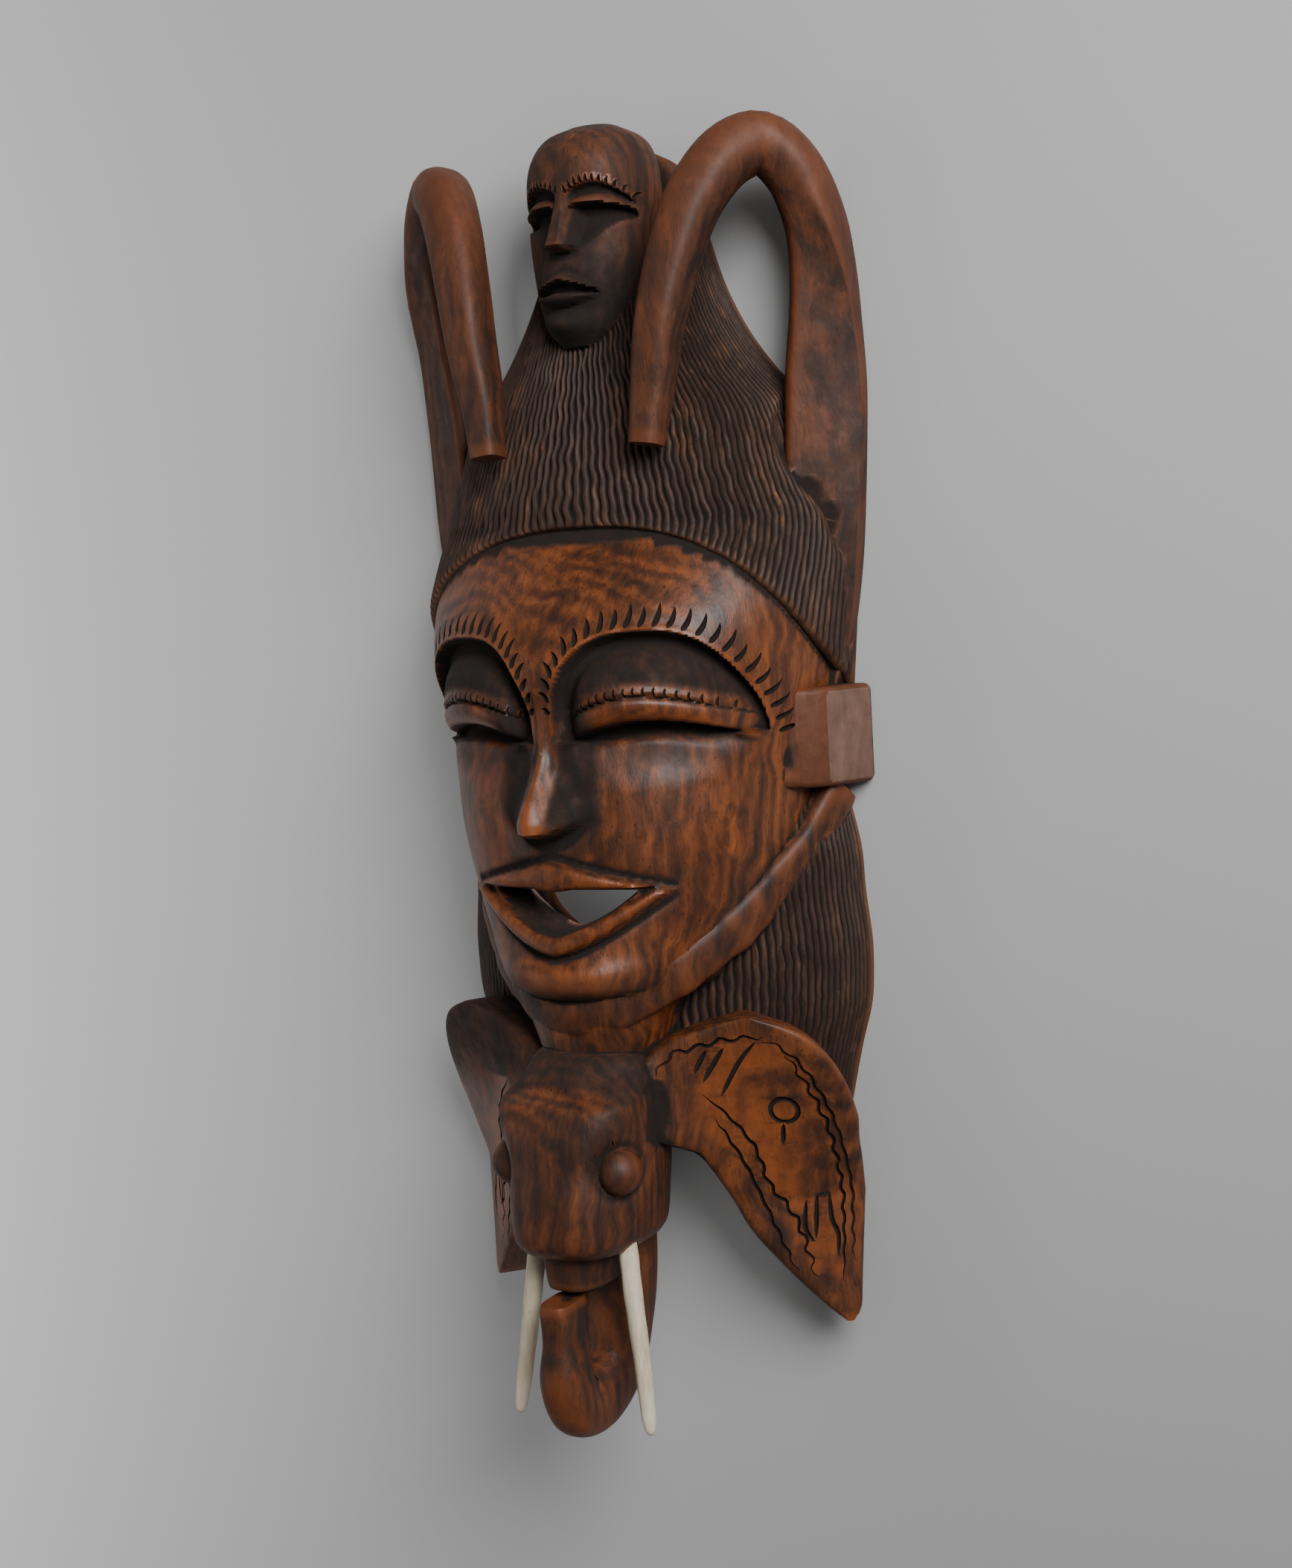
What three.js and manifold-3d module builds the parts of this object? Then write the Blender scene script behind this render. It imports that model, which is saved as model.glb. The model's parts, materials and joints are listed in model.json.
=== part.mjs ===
// Carved hardwood wall mask: a long face under a cone of grooved hair, a small second head
// at the crown, two horns that loop forward, and an elephant's head with ears, trunk and
// two separate tusks below the chin. The back is flat, and hollow behind the face.
//
// Millimetres. +Z is the mask's front, +Y runs up its length and +X is the viewer's right.
// The back rests on Z = 0, and the origin is under the middle of the length.

import * as THREE from "three";
import { mergeVertices } from "three/addons/utils/BufferGeometryUtils.js";
import Module from "manifold-3d";

const wasm = await Module();
wasm.setup();

// Levels along the length.
const crownY = 304;
const smallChinY = 201;
const hairlineY = 118;
const browY = 55;
const noseTipY = -13;
const mouthY = -46;
const chinY = -100;
const elephantCrownY = -121;
const elephantEyeY = -173;
const snoutY = -212;
const trunkTipY = -304;

// The face, measured from its flat back.
const faceHalfWidth = 108;
const faceDepth = 113;
const faceRoundness = 2.2;
const noseHeight = 22;
const noseHalfWidth = 24;
const socketHalfWidth = 41;
const socketHeight = 48.5;
const socketDepth = 10.5;
const socketX = 46;
const socketY = 22;
const lidHeight = 13;
const mouthHalfWidth = 54;
const lipHeight = 4.5;
const browNotches = 18;
const browNotchLength = 10.5;
const browNotchDepth = 2.6;

// The hollow back.
const wall = 17;
const hollowHalfWidth = 84;
const hollowTopY = 108;
const hollowBottomY = -90;

// The hair.
const hairHalfWidth = 111;
const hairDepth = 73;
const hairGrooveDepth = 1.6;
const hairRidges = 28;
const backHairHalfWidth = 109;
const backHairDepth = 65;
const backHairTopY = 10;
const backHairBottomY = -166;
const backHairRidges = 20;

// The small head at the crown.
const smallHeadHalfWidth = 31;
const smallHeadFront = 70;

// The horns: a stem up each side, an arch over the top and an arm down the front.
const hornReach = 106.5;
const hornArchRadius = 14;
const hornArmRadius = 12.5;
const hornTipRadius = 8;
const hornStemHalfWidth = 17;
const hornStemHalfDepth = 15;

// The ear blocks and the chin strap of the mask.
const earBlockReach = 116;
const leftEarBlockInset = 6;
const earBlockDepth = 43;
const earBlockHeight = 46;
const earBlockY = 16;
const strapHalfWidth = 8.5;
const strapThickness = 7;

// The elephant.
const elephantHalfWidth = 34;
const elephantFront = 133;
const elephantBack = 52;
const elephantEyeRadius = 11;
const earReach = 114;
const earThickness = 15;
const earTopY = -108;
const earTipY = -262;
const trunkHalfWidth = 19;
const risenTrunkHalfWidth = 10.5;
const underJawHalfWidth = 18.5;

// The tusks, each set in a hole under a cheek.
const tuskLength = 95;
const tuskRadius = 4.4;
const tuskTipRadius = 2;
const tuskSocketDepth = 9;
const fitGap = 0.3;

const clamp = THREE.MathUtils.clamp;
const ease = THREE.MathUtils.smoothstep;
const mirrored = [-1, 1];

// A smooth curve through keys of [place, value, ...], level beyond both ends.
function profile(keys) {
  const last = keys.length - 1;
  const slope = (i, k) => {
    const [a, b] = [keys[Math.max(i - 1, 0)], keys[Math.min(i + 1, last)]];
    return (b[k] - a[k]) / (b[0] - a[0]);
  };
  return (place) => {
    const at = clamp(place, keys[0][0], keys[last][0]);
    const i = Math.min(keys.findLastIndex((key) => key[0] <= at), last - 1);
    const span = keys[i + 1][0] - keys[i][0];
    const t = (at - keys[i][0]) / span;
    return keys[i].slice(1).map((from, n) => {
      const to = keys[i + 1][n + 1];
      const [leave, arrive] = [slope(i, n + 1) * span, slope(i + 1, n + 1) * span];
      const bend = leave * (1 - t) - arrive * t + (to - from) * (2 * t - 1);
      return from + (to - from) * t + t * (1 - t) * bend;
    });
  };
}

// A closed skin of rings. place(turn, share) is the point at a share of one turn round the
// ring and a share of the way along the rings, and hub(share) is the middle of an end.
function loft(sides, rows, place, hub) {
  const skin = new THREE.CylinderGeometry(1, 1, 1, sides, rows);
  skin.deleteAttribute("normal");
  skin.deleteAttribute("uv");
  const merged = mergeVertices(skin);
  const points = merged.attributes.position;
  for (let i = 0; i < points.count; i += 1) {
    const share = points.getY(i) + 0.5;
    const angle = Math.atan2(points.getZ(i), points.getX(i)) / (2 * Math.PI);
    const turn = Math.round((angle < -1e-6 ? angle + 1 : angle) * sides) / sides;
    const onRing = Math.hypot(points.getX(i), points.getZ(i)) > 0.5;
    points.setXYZ(i, ...(onRing ? place(turn, share) : hub(share)));
  }
  return merged;
}

// A loft along a curve. section(turn, share) gives the point across and out from the curve,
// and outward(share) says which way out is.
function sweep(path, sides, rows, outward, section) {
  const place = (turn, share) => {
    const along = path.getTangentAt(share);
    const side = new THREE.Vector3().crossVectors(along, outward(share)).normalize();
    const out = new THREE.Vector3().crossVectors(side, along);
    const [across, up] = section(turn, share);
    return path.getPointAt(share).addScaledVector(side, across).addScaledVector(out, up);
  };
  return loft(sides, rows, place, (share) => path.getPointAt(share));
}

// A superellipse: 2 is an ellipse, and a higher roundness is squarer.
function oval(turn, halfWidth, halfDepth, roundness = 2) {
  const angle = 2 * Math.PI * turn;
  const power = (value) => Math.sign(value) * Math.abs(value) ** (2 / roundness);
  return [halfWidth * power(Math.cos(angle)), halfDepth * power(Math.sin(angle))];
}

// The front half of such an oval on a flat back, with the last backSides of the turn behind.
// A focus above 0 draws the columns towards the middle of the front.
function halfOval(turn, halfWidth, depth, roundness, sides, focus = 0) {
  const backSides = 2;
  const frontShare = (sides - backSides) / sides;
  if (turn > frontShare) {
    return [halfWidth * (2 * (turn - frontShare) / (1 - frontShare) - 1), 0];
  }
  const even = turn / frontShare;
  const share = even + focus * Math.sin(2 * Math.PI * even) / (2 * Math.PI);
  return oval(share / 2, halfWidth, depth, roundness);
}

// A closed geometry as a solid, turned outwards if its skin came out inside out.
function solid(geometry) {
  const merged = geometry.index ? geometry : mergedPlain(geometry);
  const vertProperties = new Float32Array(merged.attributes.position.array);
  const triVerts = new Uint32Array(merged.index.array);
  if (signedVolume(vertProperties, triVerts) < 0) {
    for (let i = 0; i < triVerts.length; i += 3) {
      [triVerts[i + 1], triVerts[i + 2]] = [triVerts[i + 2], triVerts[i + 1]];
    }
  }
  return new wasm.Manifold(new wasm.Mesh({ numProp: 3, vertProperties, triVerts }));
}

function mergedPlain(geometry) {
  geometry.deleteAttribute("normal");
  geometry.deleteAttribute("uv");
  return mergeVertices(geometry, 1e-3);
}

function signedVolume(points, triangles) {
  const corner = (i) => new THREE.Vector3().fromArray(points, 3 * triangles[i]);
  let total = 0;
  for (let i = 0; i < triangles.length; i += 3) {
    total += corner(i).dot(corner(i + 1).cross(corner(i + 2)));
  }
  return total;
}

// A V-shaped chisel cut from one point to another, pointed at both ends.
function gouge(from, to, width, depth) {
  const cut = new THREE.OctahedronGeometry(1);
  const along = new THREE.Vector3().subVectors(to, from);
  const front = new THREE.Vector3(0, 0, 1);
  const side = new THREE.Vector3().crossVectors(front, along).normalize();
  const out = new THREE.Vector3().crossVectors(along, side).normalize();
  const frame = new THREE.Matrix4().makeBasis(
    along.clone().multiplyScalar(0.5), side.multiplyScalar(width / 2), out.multiplyScalar(depth));
  frame.setPosition(new THREE.Vector3().addVectors(from, to).multiplyScalar(0.5));
  return solid(mergedPlain(cut).applyMatrix4(frame));
}

// The face without its features: half width and depth at shares of the way up the face.
const faceSections = profile([
  [0, 0.46, 0.85], [0.03, 0.56, 0.95], [0.07, 0.62, 0.97], [0.13, 0.69, 0.95],
  [0.21, 0.76, 0.94], [0.36, 0.84, 0.95], [0.5, 0.87, 0.95], [0.62, 0.91, 0.965],
  [0.71, 0.94, 1], [0.8, 0.97, 0.93], [0.88, 0.99, 0.8], [0.96, 0.99, 0.665],
  [1, 0.98, 0.6], [1.15, 0.94, 0.5],
]);
const faceLength = hairlineY - chinY;

function faceSection(y) {
  const [width, depth] = faceSections((y - chinY) / faceLength);
  return [width * faceHalfWidth, depth * faceDepth];
}

// The plain face's front at a point of its plan.
function faceFront(x, y) {
  const [halfWidth, depth] = faceSection(y);
  const side = clamp(Math.abs(x) / halfWidth, 0, 1);
  return depth * (1 - side ** faceRoundness) ** (1 / faceRoundness);
}

// How far out from the middle of an eye socket a point lies: 1 is the socket's edge.
const socketLowerShare = 0.31;
function socketReach(x, y) {
  const across = Math.abs((Math.abs(x) - socketX) / socketHalfWidth);
  const up = (y - socketY) / socketHeight;
  const rise = up > 0 ? up : -up / socketLowerShare;
  return (across ** 2.6 + rise ** 2.2) ** (1 / 2.4);
}

// The closed lid: its top line, its lash line and its lower edge, and its room there.
function lidLines(x) {
  const across = Math.abs(Math.abs(x) - socketX) / socketHalfWidth;
  const room = (1 - clamp(across / 0.95, 0, 1) ** 2.4) ** 0.5;
  const bow = (across * 1.17) ** 2;
  return {
    top: socketY + 0.845 * socketHeight * room,
    lash: socketY + socketHeight * (0.39 - 0.215 * bow),
    edge: socketY + socketHeight * (0.175 - 0.185 * bow),
    room,
  };
}

function lidRelief(x, y) {
  const { top, lash, edge, room } = lidLines(x);
  if (room <= 0) return 0;
  const down = clamp((top - y) / Math.max(top - lash, 0.001), 0, 1);
  const dome = lidHeight * room ** 0.6 * Math.sin(0.5 * Math.PI * down) ** 0.85;
  return dome * ease(y, edge - 3, edge + 1);
}

function eyeRelief(x, y) {
  const reach = socketReach(x, y);
  const wallShare = y > socketY ? 0.12 : 0.72;
  const depth = socketDepth * (1 - ease(reach, 1 - wallShare, 1));
  return lidRelief(x, y) - depth;
}

// The lips: outer lines and the mouth's opening, as distances above and below the mouth.
function lipLines(x) {
  const across = clamp(Math.abs(x) / mouthHalfWidth, 0, 1);
  return {
    top: mouthY + 14 * (1 - across ** 1.15),
    bottom: mouthY - 30 * (1 - across ** 1.5),
    openTop: mouthY + 1,
    openBottom: mouthY - 21 * (1 - clamp(across / 0.86, 0, 1) ** 1.4),
  };
}

function lipRelief(x, y) {
  if (Math.abs(x) > mouthHalfWidth) return 0;
  const { top, bottom, openTop, openBottom } = lipLines(x);
  if (y > top || y < bottom) return 0;
  const upper = y > openTop;
  const share = upper ? (top - y) / (top - openTop) : (y - bottom) / (openBottom - bottom);
  return lipHeight * Math.sin(Math.PI * clamp(0.15 + 0.7 * share, 0, 1)) ** 0.7;
}

// The nose: a wedge with flat sides, a blunt ridge and a flat underside.
const noseShape = profile([
  [0, 0.05, 0.14, 0.3], [0.3, 0.08, 0.13, 0.4], [0.5, 0.16, 0.13, 0.62],
  [0.72, 0.55, 0.15, 0.85], [0.88, 0.86, 0.2, 1], [1, 1, 0.25, 1],
]);
const noseTopY = browY - 8;
const noseUndercut = 11;

function noseFront(x, y) {
  const down = (noseTopY - y) / (noseTopY - noseTipY);
  if (down < 0) return 0;
  const [height, ridge, base] = noseShape(down);
  const across = Math.abs(x) / noseHalfWidth;
  if (across > base) return 0;
  const crown = faceFront(0, y) + noseHeight * height;
  const side = clamp((across - ridge) / (base - ridge), 0, 1);
  const round = noseHeight * 0.12 * Math.min(across / ridge, 1) ** 2;
  const under = ease(noseTipY - y, 0.45 * noseUndercut, noseUndercut);
  return crown - round - side * (noseHeight * height + 4) - under * (noseHeight + 6);
}

// The chin and the soft hollow between it and the lower lip.
function chinRelief(x, y) {
  const chin = (1 - ease(Math.abs(y - chinY - 11), 4, 13)) * (1 - ease(Math.abs(x), 8, 52));
  return 3.5 * chin;
}

function faceSurface(x, y) {
  const relief = eyeRelief(x, y) + lipRelief(x, y) + chinRelief(x, y);
  const [halfWidth] = faceSection(y);
  const hold = 1 - ease(Math.abs(x) / halfWidth, 0.86, 0.99);
  return Math.max(faceFront(x, y) + relief * hold, noseFront(x, y));
}

// Rows of the face, closer together where the carving is fine: [top of the span, rows].
const faceRowSpans = [[chinY + 22, 2], [mouthY - 22, 2], [mouthY + 15, 8], [noseTipY + 5, 4],
  [socketY - 8, 2], [socketY + 14, 6], [socketY + socketHeight + 2, 8], [hairlineY + 16, 3]];

function spanRows(start, spans) {
  const rows = [start];
  for (const [end, count] of spans) {
    const from = rows[rows.length - 1];
    for (let i = 1; i <= count; i += 1) rows.push(from + (end - from) * i / count);
  }
  return rows;
}

function face() {
  const sides = 38;
  const rows = spanRows(chinY, faceRowSpans);
  const count = rows.length - 1;
  return solid(loft(sides, count, (turn, share) => {
    const y = rows[Math.round(share * count)];
    const [x, z] = halfOval(turn, ...faceSection(y), faceRoundness, sides, 0.45);
    const carved = z > 1 ? z + faceSurface(x, y) - faceFront(x, y) : z;
    return [x, y, Math.max(carved, 0)];
  }, (share) => [0, rows[Math.round(share * count)], 30]));
}

// The mouth goes right through the wall and narrows a little on the way in.
function mouthOpening() {
  const sides = 20;
  const rings = [[elephantFront + 20, 1], [faceDepth - 8, 1], [faceDepth - 30, 0.82], [20, 0.82]];
  return solid(loft(sides, rings.length - 1, (turn, share) => {
    const [z, scale] = rings[Math.round(share * (rings.length - 1))];
    const x = 0.84 * mouthHalfWidth * Math.cos(2 * Math.PI * turn);
    const { openTop, openBottom } = lipLines(x);
    const middle = mouthY - 6;
    const y = Math.sin(2 * Math.PI * turn) > 0 ? openTop : openBottom;
    return [x * scale, middle + (y - middle) * scale, z];
  }, (share) => [0, mouthY - 6, rings[Math.round(share * (rings.length - 1))][0]]));
}

// A point of an eye socket's upper edge, or of a line that lies a little outside it.
function socketEdge(angle, grow) {
  const [across] = oval(angle / (2 * Math.PI), socketHalfWidth + grow, 1, 2.6);
  const rise = (socketHeight + grow) * Math.max(Math.sin(angle), 0) ** (2 / 2.2);
  return new THREE.Vector2(socketX + across, socketY + rise);
}

// The notched brow: gouges, evenly spaced along the socket's upper edge, that fan outwards.
function browNotch(side, index) {
  const arc = new THREE.CatmullRomCurve3(Array.from({ length: 25 }, (_, i) => {
    const { x, y } = socketEdge(Math.PI * (1 - i / 24), 0);
    return new THREE.Vector3(x, y, Math.PI * (1 - i / 24));
  }));
  const angle = arc.getPointAt((index + 0.2) / browNotches).z;
  const lean = 0.2 * Math.max(Math.cos(angle), 0);
  const end = (turned, grow) => {
    const { x, y } = socketEdge(turned, grow);
    return new THREE.Vector3(side * Math.max(x, 3.4), y, faceFront(x, y) + 0.4);
  };
  return gouge(end(angle, 1.5), end(angle + lean, 1.5 + browNotchLength), 3, browNotchDepth);
}

// Half width and depth of the hair cone at shares of the way from the hairline to the crown.
const hairSections = profile([
  [-0.45, 0.95, 1.56], [-0.3, 0.975, 1.54], [-0.2, 0.99, 1.41], [-0.1, 1, 1.2],
  [0, 0.99, 1], [0.06, 0.95, 0.99], [0.14, 0.9, 0.96],
  [0.27, 0.82, 0.89], [0.38, 0.66, 0.84], [0.48, 0.54, 0.77], [0.6, 0.44, 0.66],
  [0.75, 0.36, 0.5], [0.88, 0.28, 0.4], [0.95, 0.2, 0.32], [1, 0.1, 0.22],
]);
const hairlineDrop = 80;
const ridgeColumns = 2;

function hairCone() {
  const sides = ridgeColumns * hairRidges + 2;
  const rows = 7;
  return solid(loft(sides, rows, (turn, share) => {
    const front = turn * sides / (sides - 2);
    const lift = Math.sin(Math.PI * clamp(front, 0, 1));
    const startY = hairlineY - hairlineDrop * (1 - lift) ** 1.1;
    const y = startY + (crownY - 6 - startY) * share;
    const [width, depth] = hairSections((y - hairlineY) / (crownY - hairlineY));
    const round = faceRoundness - 0.2 * ease(share, 0, 0.3);
    const [x, z] = halfOval(turn, width * hairHalfWidth, depth * hairDepth, round, sides);
    const groove = Math.round(turn * sides) % ridgeColumns === 1 ? 1 : 0;
    const reach = Math.hypot(x, z);
    const cut = z > 0.5 ? 1 - groove * hairGrooveDepth * ease(1 - share, 0.05, 0.4) / reach : 1;
    return [x * cut, y, z * cut];
  }, (share) => (share < 0.5 ? [0, hairlineY - 25, 25] : [0, crownY - 6, 6])));
}

// The hair that hangs behind the jaw on both sides.
const backHairSections = profile([
  [0, 0.86, 0.8], [0.26, 0.965, 1], [0.4, 0.98, 1], [0.52, 1, 1], [0.6, 1, 1],
  [0.7, 0.985, 1], [0.82, 0.93, 0.95], [1, 0.86, 0.85],
]);

function backHair() {
  const sides = ridgeColumns * backHairRidges + 2;
  const rows = 5;
  return solid(loft(sides, rows, (turn, share) => {
    const y = backHairTopY + (backHairBottomY - backHairTopY) * share;
    const [width, depth] = backHairSections(share);
    const [x, z] = halfOval(turn, width * backHairHalfWidth, depth * backHairDepth, 2, sides);
    const groove = Math.round(turn * sides) % ridgeColumns === 1 ? 1 : 0;
    const cut = z > 0.5 ? 1 - groove * hairGrooveDepth / Math.hypot(x, z) : 1;
    return [x * cut, y, z * cut];
  }, (share) => [0, backHairTopY + (backHairBottomY - backHairTopY) * share, 20]));
}

// The hollow behind the face, open at the back.
const hollowSections = profile([
  [0, 0.5, 0.6], [0.1, 0.78, 0.92], [0.25, 0.88, 1], [0.5, 0.97, 1], [0.7, 1, 1],
  [0.85, 0.92, 0.8], [1, 0.6, 0.4],
]);

function hollow() {
  const sides = 20;
  const rows = 7;
  const across = (turn, share) => {
    const y = hollowBottomY + (hollowTopY - hollowBottomY) * share;
    const [width, depth] = hollowSections(share);
    const room = Math.min(depth * (faceDepth - wall), faceFront(0, y) - wall);
    const [x, z] = halfOval(turn, width * hollowHalfWidth, room, 2.2, sides);
    return [x, y, z > 0 ? z : -5];
  };
  return solid(loft(sides, rows, across, (share) => {
    const y = hollowBottomY + (hollowTopY - hollowBottomY) * share;
    return [0, y, 8];
  }));
}

// The small head at the crown: an egg with sockets, a wedge nose, lips and a chin.
const smallHeadShape = profile([
  [0, 0.42, 0.86], [0.08, 0.62, 0.97], [0.2, 0.8, 0.96], [0.4, 0.96, 0.93], [0.6, 1, 0.93],
  [0.75, 0.98, 0.95], [0.86, 0.9, 0.9], [0.95, 0.7, 0.78], [1, 0.38, 0.6],
]);

function smallHeadRelief(x, up) {
  const side = Math.abs(x) / smallHeadHalfWidth;
  const arch = Math.sqrt(Math.max(0, 1 - ((side - 0.47) / 0.49) ** 2));
  const fall = 0.018 * ease(side, 0.47, 0.95);
  const [brow, lidTop, lidEdge] = [0.6 + 0.112 * arch, 0.597 + 0.068 * arch, 0.59 + 0.03 * arch]
    .map((line) => line - fall);
  const within = ease(side, 0.05, 0.16) * (1 - ease(side, 0.84, 0.97));
  const hollowFoot = 0.44 + 0.126 * clamp((side - 0.29) / 0.58, 0, 1);
  const over = 5.5 * ease(brow - up, 0, 0.03);
  const below = 9 * (1 - ease(lidEdge - up, 0.03, Math.max(lidEdge - hollowFoot, 0.04) + 0.02));
  const lid = 6.5 * clamp((lidTop - up) / (lidTop - lidEdge), 0, 1) * ease(up, lidEdge - 0.03, lidEdge);
  const eye = (lid - (up > lidEdge ? over : below)) * within;
  const lipTop = 0.345 - 0.107 * clamp(side / 0.53, 0, 1) ** 1.3;
  const lips = 4.5 * (1 - ease(Math.abs(up - lipTop + 0.07), 0.05, 0.09)) * (1 - ease(side, 0.4, 0.55));
  const chin = 3 * (1 - ease(Math.abs(up - 0.1), 0.04, 0.12)) * (1 - ease(side, 0.1, 0.6));
  const down = clamp((0.66 - up) / 0.22, 0, 1);
  const [ridge, base] = [0.05 + 0.06 * down, 0.14 + 0.25 * down];
  const plane = clamp((side - ridge) / (base - ridge), 0, 1);
  const nose = (1.8 + 9.5 * down) * (1 - plane) - 7 * plane - 14 * (1 - ease(up, 0.39, 0.44));
  const relief = eye + lips + chin;
  return up < 0.67 && side < base ? Math.max(relief, nose) : relief;
}

function smallHead() {
  const sides = 22;
  const height = crownY - smallChinY;
  const rows = spanRows(0, [[0.18, 2], [0.44, 7], [0.73, 8], [1, 3]]);
  const count = rows.length - 1;
  return solid(loft(sides, count, (turn, step) => {
    const share = rows[Math.round(step * count)];
    const [width, depth] = smallHeadShape(share);
    const middle = 32;
    const halfDepth = depth * smallHeadFront - middle;
    const drawn = turn < 0.5 ? turn + 0.065 * Math.sin(4 * Math.PI * turn) : turn;
    const [x, z] = oval(drawn, width * smallHeadHalfWidth, halfDepth, 2.3);
    const relief = z > 0 ? smallHeadRelief(x, share) * ease(z, 0, 12) : 0;
    const back = z < 0 ? z * 26 / Math.max(halfDepth, 26) : z;
    return [x, smallChinY + height * share, middle + back + relief];
  }, (step) => [0, smallChinY + height * rows[Math.round(step * count)], 32]));
}

// A horn: up the side from behind the ear, over the arch and down in front of the hair. The
// stem is a block whose front slopes down to its outer side, and the arch and arm are round.
function horn(side) {
  const keys = [
    [0.883, 0.125, 0.07], [0.911, 0.197, 0.085], [0.948, 0.382, 0.115], [0.981, 0.586, 0.115],
    [1, 0.75, 0.133], [0.986, 0.829, 0.168], [0.925, 0.898, 0.23], [0.831, 0.934, 0.3],
    [0.732, 0.921, 0.4], [0.62, 0.862, 0.505], [0.54, 0.776, 0.575], [0.479, 0.681, 0.62],
    [0.432, 0.586, 0.63], [0.404, 0.503, 0.655],
  ];
  const path = new THREE.CatmullRomCurve3(keys.map(([x, y, z]) => (
    new THREE.Vector3(side * x * hornReach, y * crownY, z * faceDepth))), false, "centripetal");
  const [stemWidth, stemDepth] = [hornStemHalfWidth, hornStemHalfDepth];
  const size = profile([
    [0, 0.4 * stemWidth, 0.6 * stemDepth, 5], [0.06, 0.68 * stemWidth, 0.72 * stemDepth, 5],
    [0.18, 0.96 * stemWidth, stemDepth, 5], [0.33, stemWidth, stemDepth, 5],
    [0.42, 0.84 * stemWidth, stemDepth, 4], [0.5, 0.78 * stemWidth, stemDepth, 3],
    [0.6, hornArchRadius, hornArchRadius, 2.4], [0.67, 0.98 * hornArchRadius, hornArchRadius, 2.4],
    [0.76, hornArmRadius, hornArmRadius, 2.8],
    [0.9, 0.8 * hornArmRadius, 0.84 * hornArmRadius, 3.2], [1, hornTipRadius, hornTipRadius, 3.2],
  ]);
  const section = (turn, share) => {
    const [width, depth, roundness] = size(share);
    const [outer, front] = oval(turn, width, depth, roundness);
    const slope = 0.6 * (1 - ease(share, 0.4, 0.58));
    const facet = depth - slope * Math.max(outer + 0.7 * width, 0);
    return [side * outer, Math.min(front, facet)];
  };
  return solid(sweep(path, 12, 23, () => new THREE.Vector3(0, 0, 1), section));
}

// The block of an ear, set on the side of the head with a flat facet facing out.
function earBlock(side) {
  const root = earBlockReach - 31;
  const plan = new THREE.Shape([[root, 0], [root, earBlockDepth], [root + 12, earBlockDepth - 6],
    [root + 19, earBlockDepth - 12], [earBlockReach, 4], [earBlockReach - 3, 0]]
    .map(([x, z]) => new THREE.Vector2(x, z)));
  const block = new THREE.ExtrudeGeometry(plan, {
    depth: earBlockHeight - 6, bevelThickness: 3, bevelSize: 3, bevelOffset: -3, bevelSegments: 1,
  });
  block.rotateX(Math.PI / 2);
  block.translate(side < 0 ? -leftEarBlockInset : 0, earBlockY + (earBlockHeight - 6) / 2, 0);
  if (side < 0) block.scale(-1, 1, 1);
  return solid(mergedPlain(block));
}

// The strap that follows the jaw from ear to ear.
function strap() {
  const jaw = [[98, -8, 9], [87, -33, 25], [76, -50, 40], [66, -64, 53], [56, -75, 65],
    [42, -87, 78], [22, -100, 91]];
  const right = jaw.map(([x, y, z]) => new THREE.Vector3(x, y, z));
  const left = jaw.toReversed().map(([x, y, z]) => new THREE.Vector3(-x, y, z));
  const middle = new THREE.Vector3(0, -108, 98);
  const path = new THREE.CatmullRomCurve3([...right, middle, ...left], false, "centripetal");
  const outward = (share) => {
    const at = path.getPointAt(share);
    return new THREE.Vector3(at.x, at.y * 0.35, Math.max(at.z, 1));
  };
  const section = (turn) => oval(turn, strapHalfWidth, strapThickness, 3);
  return solid(sweep(path, 8, 18, outward, section));
}

// The neck between the chin strap and the elephant's head.
function neck() {
  return solid(loft(16, 3, (turn, share) => {
    const [x, z] = oval(turn, 40 - 12 * share, 38, 2.4);
    return [x, chinY + (elephantCrownY - 12 - chinY) * share, 60 + z];
  }, (share) => [0, chinY + (elephantCrownY - 12 - chinY) * share, 60]));
}

// The elephant's head at shares of the way down: half width, front and back.
const elephantShape = profile([
  [0, 0.6, 0.72, 0.75], [0.05, 0.8, 0.78, 0.5], [0.13, 0.93, 0.83, 0.2], [0.2, 0.97, 0.865, 0.1],
  [0.25, 1, 0.92, 0], [0.4, 1, 0.965, 0], [0.57, 1, 0.985, 0], [0.7, 0.97, 1, 0],
  [0.86, 0.93, 1, 0.05], [0.95, 0.88, 0.985, 0.1], [1, 0.78, 0.955, 0.15],
]);

const elephantRoundness = profile([
  [0, 2.2], [0.14, 2.4], [0.22, 4.6], [0.32, 4.2], [0.45, 3], [0.6, 2.5], [1, 2.8],
]);

function elephantHead() {
  const sides = 20;
  const rows = 12;
  const headLength = elephantCrownY - snoutY;
  return solid(loft(sides, rows, (turn, share) => {
    const [width, front, back] = elephantShape(share);
    const [frontZ, backZ] = [front * elephantFront, elephantBack + back * 20];
    const roundness = turn < 0.5 ? elephantRoundness(share)[0] : 3;
    const [x, z] = oval(turn, width * elephantHalfWidth, (frontZ - backZ) / 2, roundness);
    return [x, elephantCrownY - headLength * share, (frontZ + backZ) / 2 + z];
  }, (share) => [0, elephantCrownY - headLength * share, 90]));
}

function elephantEye(side) {
  const ball = new THREE.SphereGeometry(elephantEyeRadius, 10, 6);
  ball.rotateX(Math.PI / 2);
  ball.translate(side * 0.82 * elephantHalfWidth, elephantEyeY, 0.83 * elephantFront);
  return solid(mergedPlain(ball));
}

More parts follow.
